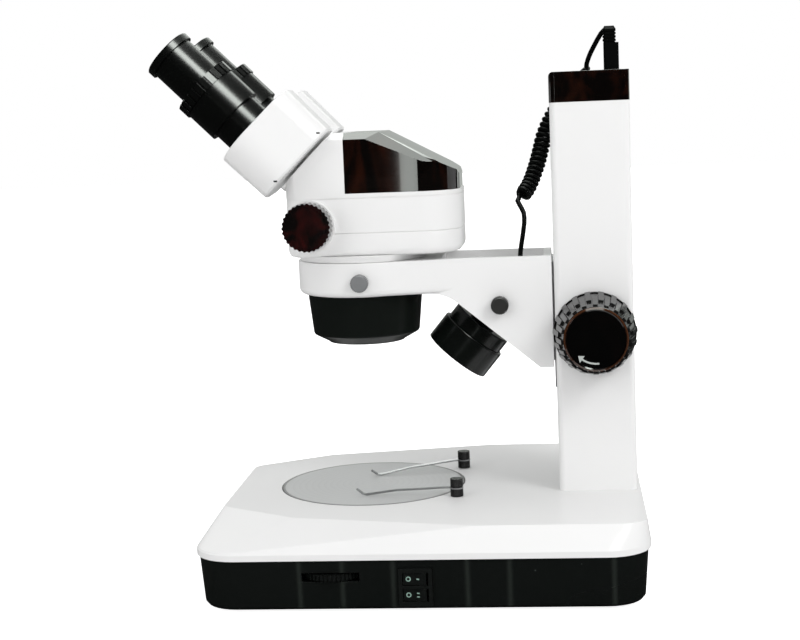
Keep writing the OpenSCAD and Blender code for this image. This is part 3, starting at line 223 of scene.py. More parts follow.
def buildDiscGroup():
    group, given, out, coords = shaderGroup(
        "discRings",
        [("Centre", "Vector", (0.0, 0.0, 0.0)), ("Across", "Vector", (1.0, 1.0, 0.0)),
         ("Pitch", "Float", 0.004), ("Edge", "Float", 0.05), ("Soft", "Float", 0.001)],
        [("Ripple", "Float"), ("Rim", "Float")])
    offset = vectorNode(group, "SUBTRACT", (-650, 200), coords, given["Centre"])
    flat = vectorNode(group, "MULTIPLY", (-450, 200), offset, given["Across"])
    radius = vectorNode(group, "LENGTH", (-250, 200), flat)
    turns = mathNode(group, "DIVIDE", (-50, 300), radius, given["Pitch"])
    saw = mathNode(group, "FRACT", (100, 300), turns)
    ripple = mathNode(group, "POWER", (250, 300), saw, 3.0)    # narrow towards each ring's outer edge
    past = mathNode(group, "SUBTRACT", (-50, 0), radius, given["Edge"])
    rim = mathNode(group, "DIVIDE", (150, 0), past, given["Soft"], clamp=True)
    wire(group, ripple, out["Ripple"])
    wire(group, rim, out["Rim"])
    return group


def buildReflectionStreakGroup(look):
    # the mask of the painted reflection streaks: lighter upright bands by the object's y
    group, _, out, coords = shaderGroup("paintedReflectionStreaks", [], [("Mask", "Float")])
    split = addNode(group, "SeparateXYZ", (-700, 300))
    wire(group, coords, split.inputs[0])
    along = addNode(group, "MapRange", (-500, 300))
    along.inputs["From Min"].default_value = look["start"]
    along.inputs["From Max"].default_value = look["end"]
    wire(group, split.outputs["Y"], along.inputs["Value"])
    ramp = addNode(group, "ValToRGB", (-250, 300))
    ramp.color_ramp.interpolation = "EASE"
    span = look["end"] - look["start"]
    for mark in look["marks"]:
        for shift, level in ((-look["halfWidth"], 0), (0, 1), (look["halfWidth"], 0)):
            stop = ramp.color_ramp.elements.new((mark + shift - look["start"]) / span)
            stop.color = (level, level, level, 1)
    ramp.color_ramp.elements[0].color = (0, 0, 0, 1)
    ramp.color_ramp.elements[-1].color = (0, 0, 0, 1)
    wire(group, along.outputs[0], ramp.inputs[0])
    wire(group, ramp.outputs[0], out["Mask"])
    return group


# painted reflections: faint upright lighter streaks in the housing's colour on its long sides, standing
# for the light its sink marks catch, placed by their distance from the stage axis; the flecks are dust
reflectionStreakAndFleckLook = dict(marks=(-0.0326, -0.0065, 0.0243, 0.0689, 0.0941, 0.1559), halfWidth=0.0024,
                start=-0.10, end=0.18, colour=(0.017, 0.021, 0.018), fleckColour=(0.05, 0.06, 0.055),
                fleckScale=130.0, fleckSize=0.07, fleckShare=0.08)
veinShape = dict(detail=4, twist=1.6, start=0.45, full=0.72)
effects = {
    "skin": buildSkinGroup(),
    "disc": buildDiscGroup(),
    # the sink entry makes the painted reflection streaks
    "sink": buildReflectionStreakGroup(reflectionStreakAndFleckLook),
    "smoke": buildSmokeGroup(veinShape),
    "brush": buildBrushGroup(),
    "fleck": buildFleckGroup(),
}
print("shader groups built:", len(effects))


def startMaterial(name):
    material = bpy.data.materials.new(name)
    material.use_nodes = True
    tree = material.node_tree
    tree.nodes.clear()
    out = addNode(tree, "OutputMaterial", (700, 0))
    shader = addNode(tree, "BsdfPrincipled", (350, 0))
    wire(tree, shader.outputs[0], out.inputs[0])
    return material, tree, shader


def placeGroup(tree, effect, place, **values):
    node = addNode(tree, "Group", place, node_tree=effects[effect])
    for label, value in values.items():
        node.inputs[label].default_value = value
    return node.outputs


def placeSkin(tree, place, look):
    return placeGroup(tree, "skin", place, **{
        "Grain Scale": look["grain"], "Patch Scale": look["patch"],
        "Roughness": look["rough"], "Patchiness": look["uneven"]})


def raiseBump(tree, shader, height, look):
    bump = addNode(tree, "Bump", (100, -350))
    bump.inputs["Strength"].default_value = look["strength"]
    bump.inputs["Distance"].default_value = look["depth"] * mm
    wire(tree, height, bump.inputs["Height"])
    wire(tree, bump.outputs[0], shader.inputs["Normal"])


def tintColour(tree, shader, patch, look):
    tinted = mixColour(tree, (50, 200), patch, look["colour"], look["tint"])
    wire(tree, tinted, shader.inputs["Base Color"])


def paintOver(tree, shader, place, mask, colour):
    # one more colour over what the finish wears so far
    worn = shader.inputs["Base Color"].links[0].from_socket
    wire(tree, mixColour(tree, place, mask, worn, colour), shader.inputs["Base Color"])


def setSheen(shader, look):
    shader.inputs["Specular IOR Level"].default_value = look["specular"]
    shader.inputs["Coat Weight"].default_value = look["coat"]
    shader.inputs["Coat Roughness"].default_value = look["coatRough"]


# what finishes of one kind share
uncoated = dict(coat=0.0, coatRough=0.3)
metalSkin = dict(grain=700.0, patch=40.0, uneven=0.1)
smokedSkin = dict(patch=22.0, uneven=0.05)
glassSkin = dict(grain=60.0, patch=30.0, uneven=0.02)


def coatedFinish(name, look):
    look = {**uncoated, **look}
    material, tree, shader = startMaterial(name)
    skin = placeSkin(tree, (-300, 0), look)
    tintColour(tree, shader, skin["Patch"], look)
    wire(tree, skin["Roughness"], shader.inputs["Roughness"])
    setSheen(shader, look)
    raiseBump(tree, shader, skin["Height"], look)
    return material, tree, shader


def metalFinish(name, look):
    material, tree, shader = startMaterial(name)
    marks = placeGroup(tree, "brush", (-300, 0), Direction=look["along"], Scale=look["scale"],
                       Roughness=look["rough"], Depth=look["uneven"])
    skin = placeSkin(tree, (-300, 250), {**look, **metalSkin})
    tintColour(tree, shader, skin["Patch"], look)
    wire(tree, marks["Roughness"], shader.inputs["Roughness"])
    shader.inputs["Metallic"].default_value = 1.0
    raiseBump(tree, shader, marks["Height"], look)
    return material


def smokedFinish(name, look):
    material, tree, shader = startMaterial(name)
    smoke = placeGroup(tree, "smoke", (-300, 250), Dark=(*look["dark"], 1), Warm=(*look["warm"], 1),
                       Scale=look["scale"], Stretch=look["stretch"], Amount=look["amount"])
    skin = placeSkin(tree, (-300, -50), {**look, **smokedSkin})
    wire(tree, smoke["Color"], shader.inputs["Base Color"])
    wire(tree, skin["Roughness"], shader.inputs["Roughness"])
    setSheen(shader, look)
    raiseBump(tree, shader, skin["Height"], look)
    return material, tree, shader


def glassFinish(name, look):
    material, tree, shader = startMaterial(name)
    skin = placeSkin(tree, (-300, 0), {**look, **glassSkin})
    tintColour(tree, shader, skin["Patch"], look)
    wire(tree, skin["Roughness"], shader.inputs["Roughness"])
    shader.inputs["Transmission Weight"].default_value = look["clear"]
    shader.inputs["IOR"].default_value = look["bend"]
    shader.inputs["Coat Weight"].default_value = look["coat"]
    shader.inputs["Coat Tint"].default_value = (*look["coating"], 1)
    return material


coatedLooks = {
    "whiteEnamel": dict(colour=(0.845, 0.845, 0.84), tint=(0.82, 0.82, 0.82), rough=0.36,
                        uneven=0.06, grain=1500.0, patch=16.0, specular=0.30, coat=0.06,
                        coatRough=0.16, depth=0.01, strength=0.06),
    # the frame's white enamel set a little darker, the darker colour being painted shade on the deck's
    # top; its lower specular is the deck's gloss
    "shadedDeckEnamel": dict(colour=(0.815, 0.815, 0.81), tint=(0.79, 0.79, 0.79), rough=0.36,
                       uneven=0.06, grain=1500.0, patch=16.0, specular=0.06, coat=0.12,
                       coatRough=0.06, depth=0.01, strength=0.04),
    "housingBlack": dict(colour=(0.0034, 0.0046, 0.0040), tint=(0.0058, 0.0072, 0.0066), rough=0.28,
                         uneven=0.08, grain=2600.0, patch=9.0, specular=0.35, coat=0.0,
                         coatRough=0.1, depth=0.02, strength=0.12),
    "blackSatin": dict(colour=(0.0007, 0.0011, 0.0009), tint=(0.0012, 0.0018, 0.0014), rough=0.25,
                       uneven=0.05, grain=1900.0, patch=30.0, specular=0.55, depth=0.01,
                       strength=0.02),
    "lampBlack": dict(colour=(0.0020, 0.0030, 0.0024), tint=(0.0034, 0.0048, 0.0040), rough=0.22,
                      uneven=0.05, grain=1900.0, patch=30.0, specular=0.38, depth=0.01,
                      strength=0.04),
    "shroudBlack": dict(colour=(0.0046, 0.0062, 0.0052), tint=(0.0064, 0.0082, 0.0070), rough=0.30,
                        uneven=0.05, grain=1900.0, patch=30.0, specular=0.22, depth=0.01,
                        strength=0.06),
    "gripRubber": dict(colour=(0.0045, 0.0045, 0.0043), tint=(0.0070, 0.0070, 0.0067), rough=0.22,
                       uneven=0.06, grain=2400.0, patch=60.0, specular=0.95, depth=0.01,
                       strength=0.06),
    "footRubber": dict(colour=(0.016, 0.016, 0.016), tint=(0.03, 0.03, 0.03), rough=0.75,
                       uneven=0.12, grain=1700.0, patch=50.0, specular=0.3, depth=0.05,
                       strength=0.4),
    "controlBlack": dict(colour=(0.0040, 0.0052, 0.0046), tint=(0.0060, 0.0078, 0.0070), rough=0.34,
                         uneven=0.08, grain=2200.0, patch=80.0, specular=0.45, depth=0.01,
                         strength=0.1),
    "postBlack": dict(colour=(0.0020, 0.0020, 0.0020), tint=(0.0040, 0.0040, 0.0040), rough=0.26,
                      uneven=0.08, grain=2000.0, patch=90.0, specular=0.5, coat=0.2, coatRough=0.2,
                      depth=0.01, strength=0.1),
    "knobGrey": dict(colour=(0.020, 0.020, 0.019), tint=(0.028, 0.028, 0.027), rough=0.40,
                     uneven=0.08, grain=2000.0, patch=90.0, specular=0.5, coat=0.0, coatRough=0.2,
                     depth=0.01, strength=0.1),
    "plateGrey": dict(colour=(0.17, 0.175, 0.18), tint=(0.21, 0.215, 0.22), rough=0.5, uneven=0.1,
                      grain=1400.0, patch=20.0, specular=0.5, depth=0.04, strength=0.25),
    "screwGrey": dict(colour=(0.16, 0.165, 0.17), tint=(0.22, 0.225, 0.23), rough=0.42, uneven=0.1,
                      grain=1800.0, patch=120.0, specular=0.5, coat=0.15, coatRough=0.2, depth=0.02,
                      strength=0.2),
    "boardGreen": dict(colour=(0.012, 0.10, 0.035), tint=(0.02, 0.13, 0.05), rough=0.35, uneven=0.1,
                       grain=900.0, patch=120.0, specular=0.5, coat=0.3, coatRough=0.1, depth=0.02,
                       strength=0.2),
    "cableBlack": dict(colour=(0.0010, 0.0014, 0.0012), tint=(0.0022, 0.0028, 0.0024), rough=0.40,
                       uneven=0.08, grain=1500.0, patch=70.0, specular=0.10, coat=0.0,
                       coatRough=0.25, depth=0.03, strength=0.3),
    "printWhite": dict(colour=(0.46, 0.49, 0.47), tint=(0.40, 0.43, 0.41), rough=0.5, uneven=0.05,
                       grain=2500.0, patch=200.0, specular=0.4, depth=0.01, strength=0.1),
    "markGreen": dict(colour=(0.30, 0.44, 0.38), tint=(0.24, 0.38, 0.32), rough=0.5, uneven=0.05,
                      grain=2500.0, patch=300.0, specular=0.4, depth=0.01, strength=0.1),
}
metalLooks = {
    "springSteel": dict(colour=(0.40, 0.40, 0.41), tint=(0.32, 0.32, 0.33), rough=0.46, uneven=0.10,
                        along=(1.0, 1.0, 1.0), scale=400.0, depth=0.01, strength=0.1),
    "zincSteel": dict(colour=(0.62, 0.62, 0.64), tint=(0.5, 0.5, 0.52), rough=0.34, uneven=0.14,
                      along=(1.0, 1.0, 8.0), scale=120.0, depth=0.02, strength=0.15),
    "guideMetal": dict(colour=(0.58, 0.59, 0.60), tint=(0.5, 0.5, 0.51), rough=0.36, uneven=0.14,
                       along=(30.0, 30.0, 1.0), scale=60.0, depth=0.02, strength=0.15),
    "brass": dict(colour=(0.72, 0.50, 0.20), tint=(0.62, 0.42, 0.16), rough=0.30, uneven=0.14,
                  along=(20.0, 20.0, 1.0), scale=60.0, depth=0.02, strength=0.15),
    "shaftSteel": dict(colour=(0.56, 0.56, 0.57), tint=(0.48, 0.48, 0.5), rough=0.24, uneven=0.12,
                       along=(30.0, 1.0, 1.0), scale=60.0, depth=0.01, strength=0.12),
}
smokedLooks = {
    "hoodBrown": dict(dark=(0.0015, 0.0008, 0.0006), warm=(0.034, 0.0075, 0.0028), scale=26.0,
                      stretch=(1.0, 1.0, 0.30), amount=0.75, rough=0.05, grain=800.0, specular=0.5,
                      coat=0.7, coatRough=0.02, depth=0.01, strength=0.0),
    "capBrown": dict(dark=(0.0016, 0.0008, 0.0006), warm=(0.020, 0.0050, 0.0020), scale=44.0,
                     stretch=(1.0, 1.0, 1.0), amount=0.75, rough=0.12, grain=800.0, specular=0.5,
                     coat=0.5, coatRough=0.04, depth=0.01, strength=0.05),
    "knobRed": dict(dark=(0.0016, 0.0006, 0.0006), warm=(0.030, 0.0020, 0.0018), scale=60.0,
                    stretch=(1.0, 1.0, 1.0), amount=0.85, rough=0.14, grain=800.0, specular=0.5,
                    coat=0.25, coatRough=0.05, depth=0.01, strength=0.05),
    "knobGloss": dict(dark=(0.0002, 0.0002, 0.0002), warm=(0.0016, 0.0008, 0.0006), scale=34.0,
                      stretch=(1.0, 1.0, 1.0), amount=0.5, rough=0.10, grain=800.0, specular=0.35,
                      coat=0.25, coatRough=0.03, depth=0.01, strength=0.04),
}
glassLooks = {
    "coatedGlass": dict(colour=(0.86, 0.90, 0.92), tint=(0.80, 0.87, 0.90), rough=0.03, clear=0.85,
                        bend=1.52, coat=0.4, coating=(0.6, 0.75, 0.9)),
}
stageLook = dict(colour=(0.50, 0.505, 0.507), tint=(0.53, 0.535, 0.537), rough=0.36, uneven=0.10,
                 grain=2400.0, patch=18.0, specular=0.5, coat=0.25, coatRough=0.2, depth=0.04,
                 strength=0.12, centre=(0, 0, 0), across=(1, 1, 0), ringPitch=0.0042,
                 ringShade=0.10, edgeRadius=0.0592, edgeSoft=0.0006, edgeColour=(0.20, 0.20, 0.20),
                 scatter=0.1, scatterReach=0.003)
faceLook = dict(centre=(0, 0.1497, 0.1522), across=(0, 1, 1), edgeRadius=0.0185, edgeSoft=0.0010,
                edgeColour=(0.052, 0.019, 0.008))


def stageFinish(look):
    material, tree, shader = coatedFinish("stageFrost", look)
    disc = placeGroup(tree, "disc", (-300, 500), Centre=look["centre"], Across=look["across"],
                      Pitch=look["ringPitch"], Edge=look["edgeRadius"], Soft=look["edgeSoft"])
    ripple = mathNode(tree, "MULTIPLY", (0, 500), disc["Ripple"], look["ringShade"])
    paintOver(tree, shader, (200, 350), ripple, look["edgeColour"])
    paintOver(tree, shader, (350, 500), disc["Rim"], look["edgeColour"])
    shader.inputs["Subsurface Weight"].default_value = look["scatter"]
    shader.inputs["Subsurface Radius"].default_value = [look["scatterReach"]] * 3
    return material


def faceFinish(look):
    material, tree, shader = smokedFinish("faceBlack", smokedLooks["knobGloss"])
    disc = placeGroup(tree, "disc", (-300, 600), Centre=look["centre"], Across=look["across"],
                      Edge=look["edgeRadius"], Soft=look["edgeSoft"])
    paintOver(tree, shader, (100, 500), disc["Rim"], look["edgeColour"])
    return material


def housingFinish(look):
    material, tree, shader = coatedFinish("housingBlack", coatedLooks["housingBlack"])
    sink = placeGroup(tree, "sink", (-300, 700))
    fleck = placeGroup(tree, "fleck", (-300, 500), Scale=look["fleckScale"], Size=look["fleckSize"],
                       Share=look["fleckShare"])
    # painted reflection: lighter upright streaks laid into the housing's colour; the flecks after them
    # are dust
    paintOver(tree, shader, (150, 450), sink["Mask"], look["colour"])
    paintOver(tree, shader, (250, 300), fleck["Mask"], look["fleckColour"])
    return material


finishes = {name: coatedFinish(name, look)[0] for name, look in coatedLooks.items()
            if name != "housingBlack"}
finishes.update({name: metalFinish(name, look) for name, look in metalLooks.items()})
finishes.update({name: smokedFinish(name, look)[0] for name, look in smokedLooks.items()})
finishes.update({name: glassFinish(name, look) for name, look in glassLooks.items()})
finishes["stageFrost"] = stageFinish(stageLook)
finishes["faceBlack"] = faceFinish(faceLook)
finishes["housingBlack"] = housingFinish(reflectionStreakAndFleckLook)
print("finishes built:", len(finishes))

# which finish each part of the frame wears
dressing = {
    "shadedDeckEnamel": ["deck_cover"],
    "whiteEnamel": ["column_shell", "arm", "head_lower_case", "head_middle_case",
                    "head_upper_case", "prism_box_right", "prism_box_left", "stage_lamp"],
    "housingBlack": ["base_housing"],
    "stageFrost": ["stage_plate"],
    "plateGrey": ["bottom_plate"],
    "footRubber": ["rubber_feet"],
    "zincSteel": ["base_screws"],
    "boardGreen": ["control_board"],
    "controlBlack": ["power_inlet", "switch_panel", "rocker_upper", "rocker_lower", "wheel_right",
                     "wheel_left", "lead_socket", "lead_gland"],
    "postBlack": ["clip_post_right", "clip_post_left"],
    "knobGrey": ["lamp_lock_screw"],
    "springSteel": ["clip_spring_right", "clip_spring_left"],
    "hoodBrown": ["head_hood"],
    "capBrown": ["column_cap"],
    "knobRed": ["zoom_knobs"],
    "faceBlack": ["focus_faces"],
    "guideMetal": ["guide_rail", "carriage"],
    "brass": ["shaft_bushes", "focus_rack"],
    "shaftSteel": ["pinion_shaft", "zoom_shaft"],
    "knobGloss": ["focus_hub_right", "focus_hub_left"],
    "gripRubber": ["focus_grips"],
    "screwGrey": ["ring_lock_screw"],
    "shroudBlack": ["objective_shroud"],
    "lampBlack": ["lamp_barrel", "lamp_hood"],
    "blackSatin": ["eye_tube_right", "eye_tube_left",
                   "dioptre_ring_right", "dioptre_ring_left", "eyepiece_right", "eyepiece_left"],
    "coatedGlass": ["lamp_lens", "objective_lenses", "eye_lens_right", "eye_lens_left"],
    "cableBlack": ["lead_plug", "lead_upper", "lead_coil", "lead_lower"],
}
finishOf = {part: finish for finish, parts in dressing.items() for part in parts}


def wearFinish(obj, finish):
    obj.data.materials.clear()
    obj.data.materials.append(finishes[finish])


for part, obj in nodes.items():
    wearFinish(obj, finishOf[part])
print("frame parts dressed:", len(nodes))


# the curly lead from the plug on the column to the boot on the arm
lead = {
    "upper": [(0, 165, 337.5), (0, 164.5, 341), (-0.5, 162.5, 343), (-2, 159.8, 341.5),
              (-4, 157, 337.4), (-6, 154.4, 332.9), (-9, 151.8, 328), (-12, 149.8, 322.8),
              (-17, 149.5, 319.6), (-24, 150.5, 319), (-31, 149.5, 319), (-36, 146.5, 317),
              (-38.8, 142.5, 312), (-39.2, 139, 305)],
    "coil": [(-39.2, 139, 305), (-39.2, 133, 298.5), (-38.8, 125.5, 287), (-37.4, 120.5, 276),
             (-35, 118, 267), (-31, 115.6, 258.5), (-26, 112.3, 249.5), (-20, 108.4, 241.8),
             (-10, 102.1, 234.9)],
    "lower": [(-10, 102.1, 234.9), (-7, 103.6, 232), (-4, 106, 227.5), (-2, 106.4, 222),
              (-1, 105.8, 217.2), (0, 105, 212), (0, 103.8, 205.5), (0, 103, 199), (0, 103, 196)],
    "diameter": 3.2,
    "upperSteps": 26,
    "lowerSteps": 12,
    "coilRadius": 4.2,
    "turns": 21,
    "leadIn": 7,               # steps over which the coil opens and closes
    "endRate": 8,              # how much faster than the coil its ends go along the route
    "stepsPerTurn": 14,
    "coreSteps": 900,
    "sides": 10,
    "stretchFrom": 305,        # a height on the lead's route, in millimetres
    "stretchTo": 235,          # a height on the lead's route, in millimetres
}


def smoothLine(points, count, perSpan=20):
    # Catmull-Rom through the points, then evenly spaced
    pts = [Vector(p) for p in points]
    ends = [pts[0] * 2 - pts[1]] + pts + [pts[-1] * 2 - pts[-2]]
    fine = []
    for a, b, c, d in zip(ends, ends[1:], ends[2:], ends[3:]):
        for step in range(perSpan):
            t = step / perSpan
            fine.append(0.5 * ((2 * b) + (c - a) * t + (2 * a - 5 * b + 4 * c - d) * t * t
                               + (3 * b - a - 3 * c + d) * t ** 3))
    fine.append(pts[-1])
    gone = [0.0]
    for p, q in zip(fine, fine[1:]):
        gone.append(gone[-1] + (q - p).length)
    line, k = [], 0
    for i in range(count + 1):
        want = gone[-1] * i / count
        while k < len(fine) - 2 and gone[k + 1] < want:
            k += 1
        share = (want - gone[k]) / max(gone[k + 1] - gone[k], 1e-9)
        line.append(fine[k].lerp(fine[k + 1], min(max(share, 0), 1)))
    return line


def carriedFrames(line):
    tangents = []
    for i in range(len(line)):
        tangents.append((line[min(i + 1, len(line) - 1)] - line[max(i - 1, 0)]).normalized())
    side = tangents[0].orthogonal().normalized()
    frames = []
    for t in tangents:
        side = (side - t * side.dot(t)).normalized()
        frames.append((t, side, t.cross(side)))
    return frames


def leadPath(values):
    upper = smoothLine(values["upper"], values["upperSteps"])
    lower = smoothLine(values["lower"], values["lowerSteps"])
    core = smoothLine(values["coil"], values["coreSteps"])
    frames = carriedFrames(core)
    lead, perTurn = values["leadIn"], values["stepsPerTurn"]
    steps = values["turns"] * perTurn + lead
    grown = [min(1, i / lead, (steps - i) / lead) for i in range(steps + 1)]
    grown = [3 * g ** 2 - 2 * g ** 3 for g in grown]
    along, turned = [0.0], [0.0]
    for g, after in zip(grown, grown[1:]):
        share = (g + after) / 2
        along.append(along[-1] + 1 + (values["endRate"] - 1) * (1 - share))
        turned.append(turned[-1] + share)
    coil = []
    for g, gone, turn in zip(grown, along, turned):
        spot = gone / along[-1] * values["coreSteps"]
        k = min(int(spot), values["coreSteps"] - 1)
        centre = core[k].lerp(core[k + 1], spot - k)
        side, up = (frames[k][n].lerp(frames[k + 1][n], spot - k) for n in (1, 2))
        angle = 2 * math.pi * turn / perTurn
        outward = side * math.cos(angle) + up * math.sin(angle)
        coil.append(centre + outward * values["coilRadius"] * g)
    return [p * mm for p in upper[:-1] + coil + lower[1:]]


def tubeMesh(name, line, radius, sides):
    mesh = bpy.data.meshes.new(name)
    verts, faces = [], []
    for p, (_, side, up) in zip(line, carriedFrames(line)):
        for k in range(sides):
            angle = 2 * math.pi * k / sides
            verts.append(p + (side * math.cos(angle) + up * math.sin(angle)) * radius)
    for i in range(len(line) - 1):
        for k in range(sides):
            a, b = i * sides + k, i * sides + (k + 1) % sides
            faces.append((a, b, b + sides, a + sides))
    faces.append(tuple(range(sides))[::-1])
    faces.append(tuple(range((len(line) - 1) * sides, len(line) * sides)))
    mesh.from_pydata(verts, [], faces)
    mesh.update()
    for polygon in mesh.polygons:
        polygon.use_smooth = True
    obj = bpy.data.objects.new(name, mesh)
    scene.collection.objects.link(obj)
    return obj


def buildLead(values):
    path = leadPath(values)
    length = sum((b - a).length for a, b in zip(path, path[1:]))
    obj = tubeMesh("curlyLead", path, values["diameter"] / 2 * mm, values["sides"])
    wearFinish(obj, "cableBlack")
    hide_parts("lead_upper", "lead_coil", "lead_lower")
    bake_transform(obj)
    return length


print("lead length in metres:", round(buildLead(lead), 3))

record = frame["record"]
bodyOf = {part: body for body, parts in record["behaviour"]["bodies"].items() for part in parts}


def addPiece(name, mesh, finish, body):
    obj = bpy.data.objects.new(name, mesh)
    scene.collection.objects.link(obj)
    wearFinish(obj, finish)
    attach(obj, body)
    return obj


# moulded and machined parts get their small edge radii here
edges = {
    "deck_cover": dict(width=1.1, steps=3, angle=14),
    "column_shell": dict(width=0.5, steps=2, angle=30),
    "arm": dict(width=0.9, steps=3, angle=30),
    "head_lower_case": dict(width=0.35, steps=2, angle=30),
    "head_middle_case": dict(width=0.35, steps=2, angle=30),
    "head_upper_case": dict(width=0.5, steps=2, angle=24),
    "head_hood": dict(width=0.25, steps=2, angle=20),
    "column_cap": dict(width=0.4, steps=2, angle=30),
    "base_housing": dict(width=0.3, steps=2, angle=30),
    "prism_box_right": dict(width=0.4, steps=2, angle=30),
    "prism_box_left": dict(width=0.4, steps=2, angle=30),
    "objective_shroud": dict(width=0.4, steps=2, angle=24),
    "lamp_barrel": dict(width=0.4, steps=2, angle=30),
    "lamp_hood": dict(width=0.4, steps=2, angle=30),
    "switch_panel": dict(width=0.35, steps=2, angle=30),
    "rocker_upper": dict(width=0.3, steps=2, angle=12),
    "rocker_lower": dict(width=0.3, steps=2, angle=12),
}


# in millimetres and degrees; the weight is how much larger faces count in the shading
mending = dict(weldReach=0.004, flatAngle=0.6, faceWeight=50)


def roundEdges(obj, look):
    bevel = obj.modifiers.new("edgeRadius", "BEVEL")
    bevel.width = look["width"] * mm
    bevel.segments = look["steps"]
    bevel.limit_method = "ANGLE"
    bevel.angle_limit = math.radians(look["angle"])
    bevel.use_clamp_overlap = True


def softenEdges(part, look):
    mesh = nodes[part].data.copy()
    mesh.name = part + "Soft"
    work = bmesh.new()
    work.from_mesh(mesh)
    bmesh.ops.remove_doubles(work, verts=work.verts, dist=mending["weldReach"] * mm)
    bmesh.ops.dissolve_limit(work, angle_limit=math.radians(mending["flatAngle"]), verts=work.verts,
                             edges=work.edges)
    work.to_mesh(mesh)
    work.free()
    for layer in ("custom_normal", "sharp_edge", "sharp_face"):
        if layer in mesh.attributes:
            mesh.attributes.remove(mesh.attributes[layer])
    for polygon in mesh.polygons:
        polygon.use_smooth = True
    obj = addPiece(part + "Soft", mesh, finishOf[part], bodyOf[part])
    roundEdges(obj, look)
    flatten = obj.modifiers.new("flatFaces", "WEIGHTED_NORMAL")
    flatten.mode = "FACE_AREA"
    flatten.weight = mending["faceWeight"]
    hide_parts(part)


for part, look in edges.items():
    softenEdges(part, look)
print("edges softened:", len(edges))

# printed marks on the two rockers
switchMarks = {
    "rockerX": 120.5,
    "rockerY": 37.6,
    "lift": 0.06,
    "thick": 0.12,
    "tip": -8,                 # degrees, how the rocker is tipped at rest
    "halfRise": 1.0,           # each half stands out this much more at its end
    "halfReach": 7.2,          # over this length
    "valley": 2.2,             # from the hinge out to the face at the rocker's middle
    "ring": (1.55, 0.95),      # outer and inner radius
    "bar": (1.7, 0.7),         # length and width
    "ringAt": -3.9,            # along the rocker from its middle
    "barAt": 1.9,
    "barPitch": 2.2,
}


def flatRing(work, outer, inner, thick, place, count=32):
    turns = [2 * math.pi * k / count for k in range(count)]
    rows = []
    for radius, depth in ((outer, 0), (outer, thick), (inner, thick), (inner, 0)):
        rows.append([work.verts.new(place @ Vector((radius * math.cos(a), radius * math.sin(a), depth)))
                     for a in turns])
    for row, other in zip(rows, rows[1:] + rows[:1]):
        for k in range(count):
            work.faces.new((row[k], row[(k + 1) % count], other[(k + 1) % count], other[k]))


def flatPlate(work, outline, thick, place):
    low = [work.verts.new(place @ Vector((x, y, 0))) for x, y in outline]
    high = [work.verts.new(place @ Vector((x, y, thick))) for x, y in outline]
    work.faces.new(low[::-1])
    work.faces.new(high)
    for k in range(len(outline)):
        n = (k + 1) % len(outline)
        work.faces.new((low[k], low[n], high[n], high[k]))


def plateOutline(width, length):
    x, y = width / 2, length / 2
    return [(-x, -y), (x, -y), (x, y), (-x, y)]


def finishMesh(work, name):
    mesh = bpy.data.meshes.new(name)
    bmesh.ops.recalc_face_normals(work, faces=work.faces)
    bmesh.ops.scale(work, vec=(mm, mm, mm), verts=work.verts)
    work.to_mesh(mesh)
    work.free()
    return mesh


def markRocker(part, bars, values):
    low, high = [Vector(c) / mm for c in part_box(part)]
    pivot = Vector((values["rockerX"], values["rockerY"], (low.z + high.z) / 2))
    tip = Matrix.Translation(pivot) @ Matrix.Rotation(math.radians(values["tip"]), 4, "Z")
    work = bmesh.new()

    def onHalf(side, along, across):
        # the two halves of a rocker lean in towards its middle
        lean = math.atan2(values["halfRise"], values["halfReach"]) * side
        x = values["valley"] + abs(along) * math.sin(abs(lean)) + values["lift"]
        return (tip @ Matrix.Translation((x, along, across)) @ Matrix.Rotation(-lean, 4, "Z")
                @ Matrix.Rotation(math.radians(90), 4, "Y"))

    flatRing(work, *values["ring"], values["thick"], onHalf(-1, values["ringAt"], 0))
    length, width = values["bar"]
    for k in range(bars):
        across = (k - (bars - 1) / 2) * values["barPitch"]
        place = onHalf(1, values["barAt"], across)
        flatPlate(work, plateOutline(width, length), values["thick"], place)
    addPiece(part + "Marks", finishMesh(work, part + "Marks"), "markGreen", part)


markRocker("rocker_upper", 1, switchMarks)
markRocker("rocker_lower", 2, switchMarks)

hands = {1: "right", -1: "left"}

# a plain arrow on each focus knob's face
turnArrow = {
    "radius": 15.0,
    "from": -84,
    "to": -126,
    "width": 1.1,
    "head": 2.6,
    "headTurn": 13,
    "steps": 14,
    "thick": 0.08,
    "inset": 0.56,             # from the knob's rim in to the arrow's back
    "centre": (149.7, 152.2),
}


def arrowOutline(values):
    r, half = values["radius"], values["width"] / 2
    steps = values["steps"]
    turns = [values["from"] + (values["to"] - values["from"]) * k / steps for k in range(steps + 1)]

    def polar(radius, degrees):
        return (radius * math.cos(math.radians(degrees)), radius * math.sin(math.radians(degrees)))

    outer = [polar(r + half, a) for a in turns]
    inner = [polar(r - half, a) for a in turns]
    end = values["to"]
    head = [polar(r + values["head"], end), polar(r, end - values["headTurn"]),
            polar(r - values["head"], end)]
    return outer + head + inner[::-1]


def buildArrow(side, values):
    high = Vector(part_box("focus_faces")[1]) / mm
    work = bmesh.new()
    face = Matrix.Translation((side * (high.x - values["inset"]), *values["centre"]))
    axes = Matrix(((0, 0, side, 0), (1, 0, 0, 0), (0, 1, 0, 0), (0, 0, 0, 1)))
    flatPlate(work, arrowOutline(values), values["thick"], face @ axes)
    name = "turnArrow" + hands[side].title()
    addPiece(name, finishMesh(work, name), "printWhite", "focus_knobs")


for side in hands:
    buildArrow(side, turnArrow)
print("marks and arrows placed")

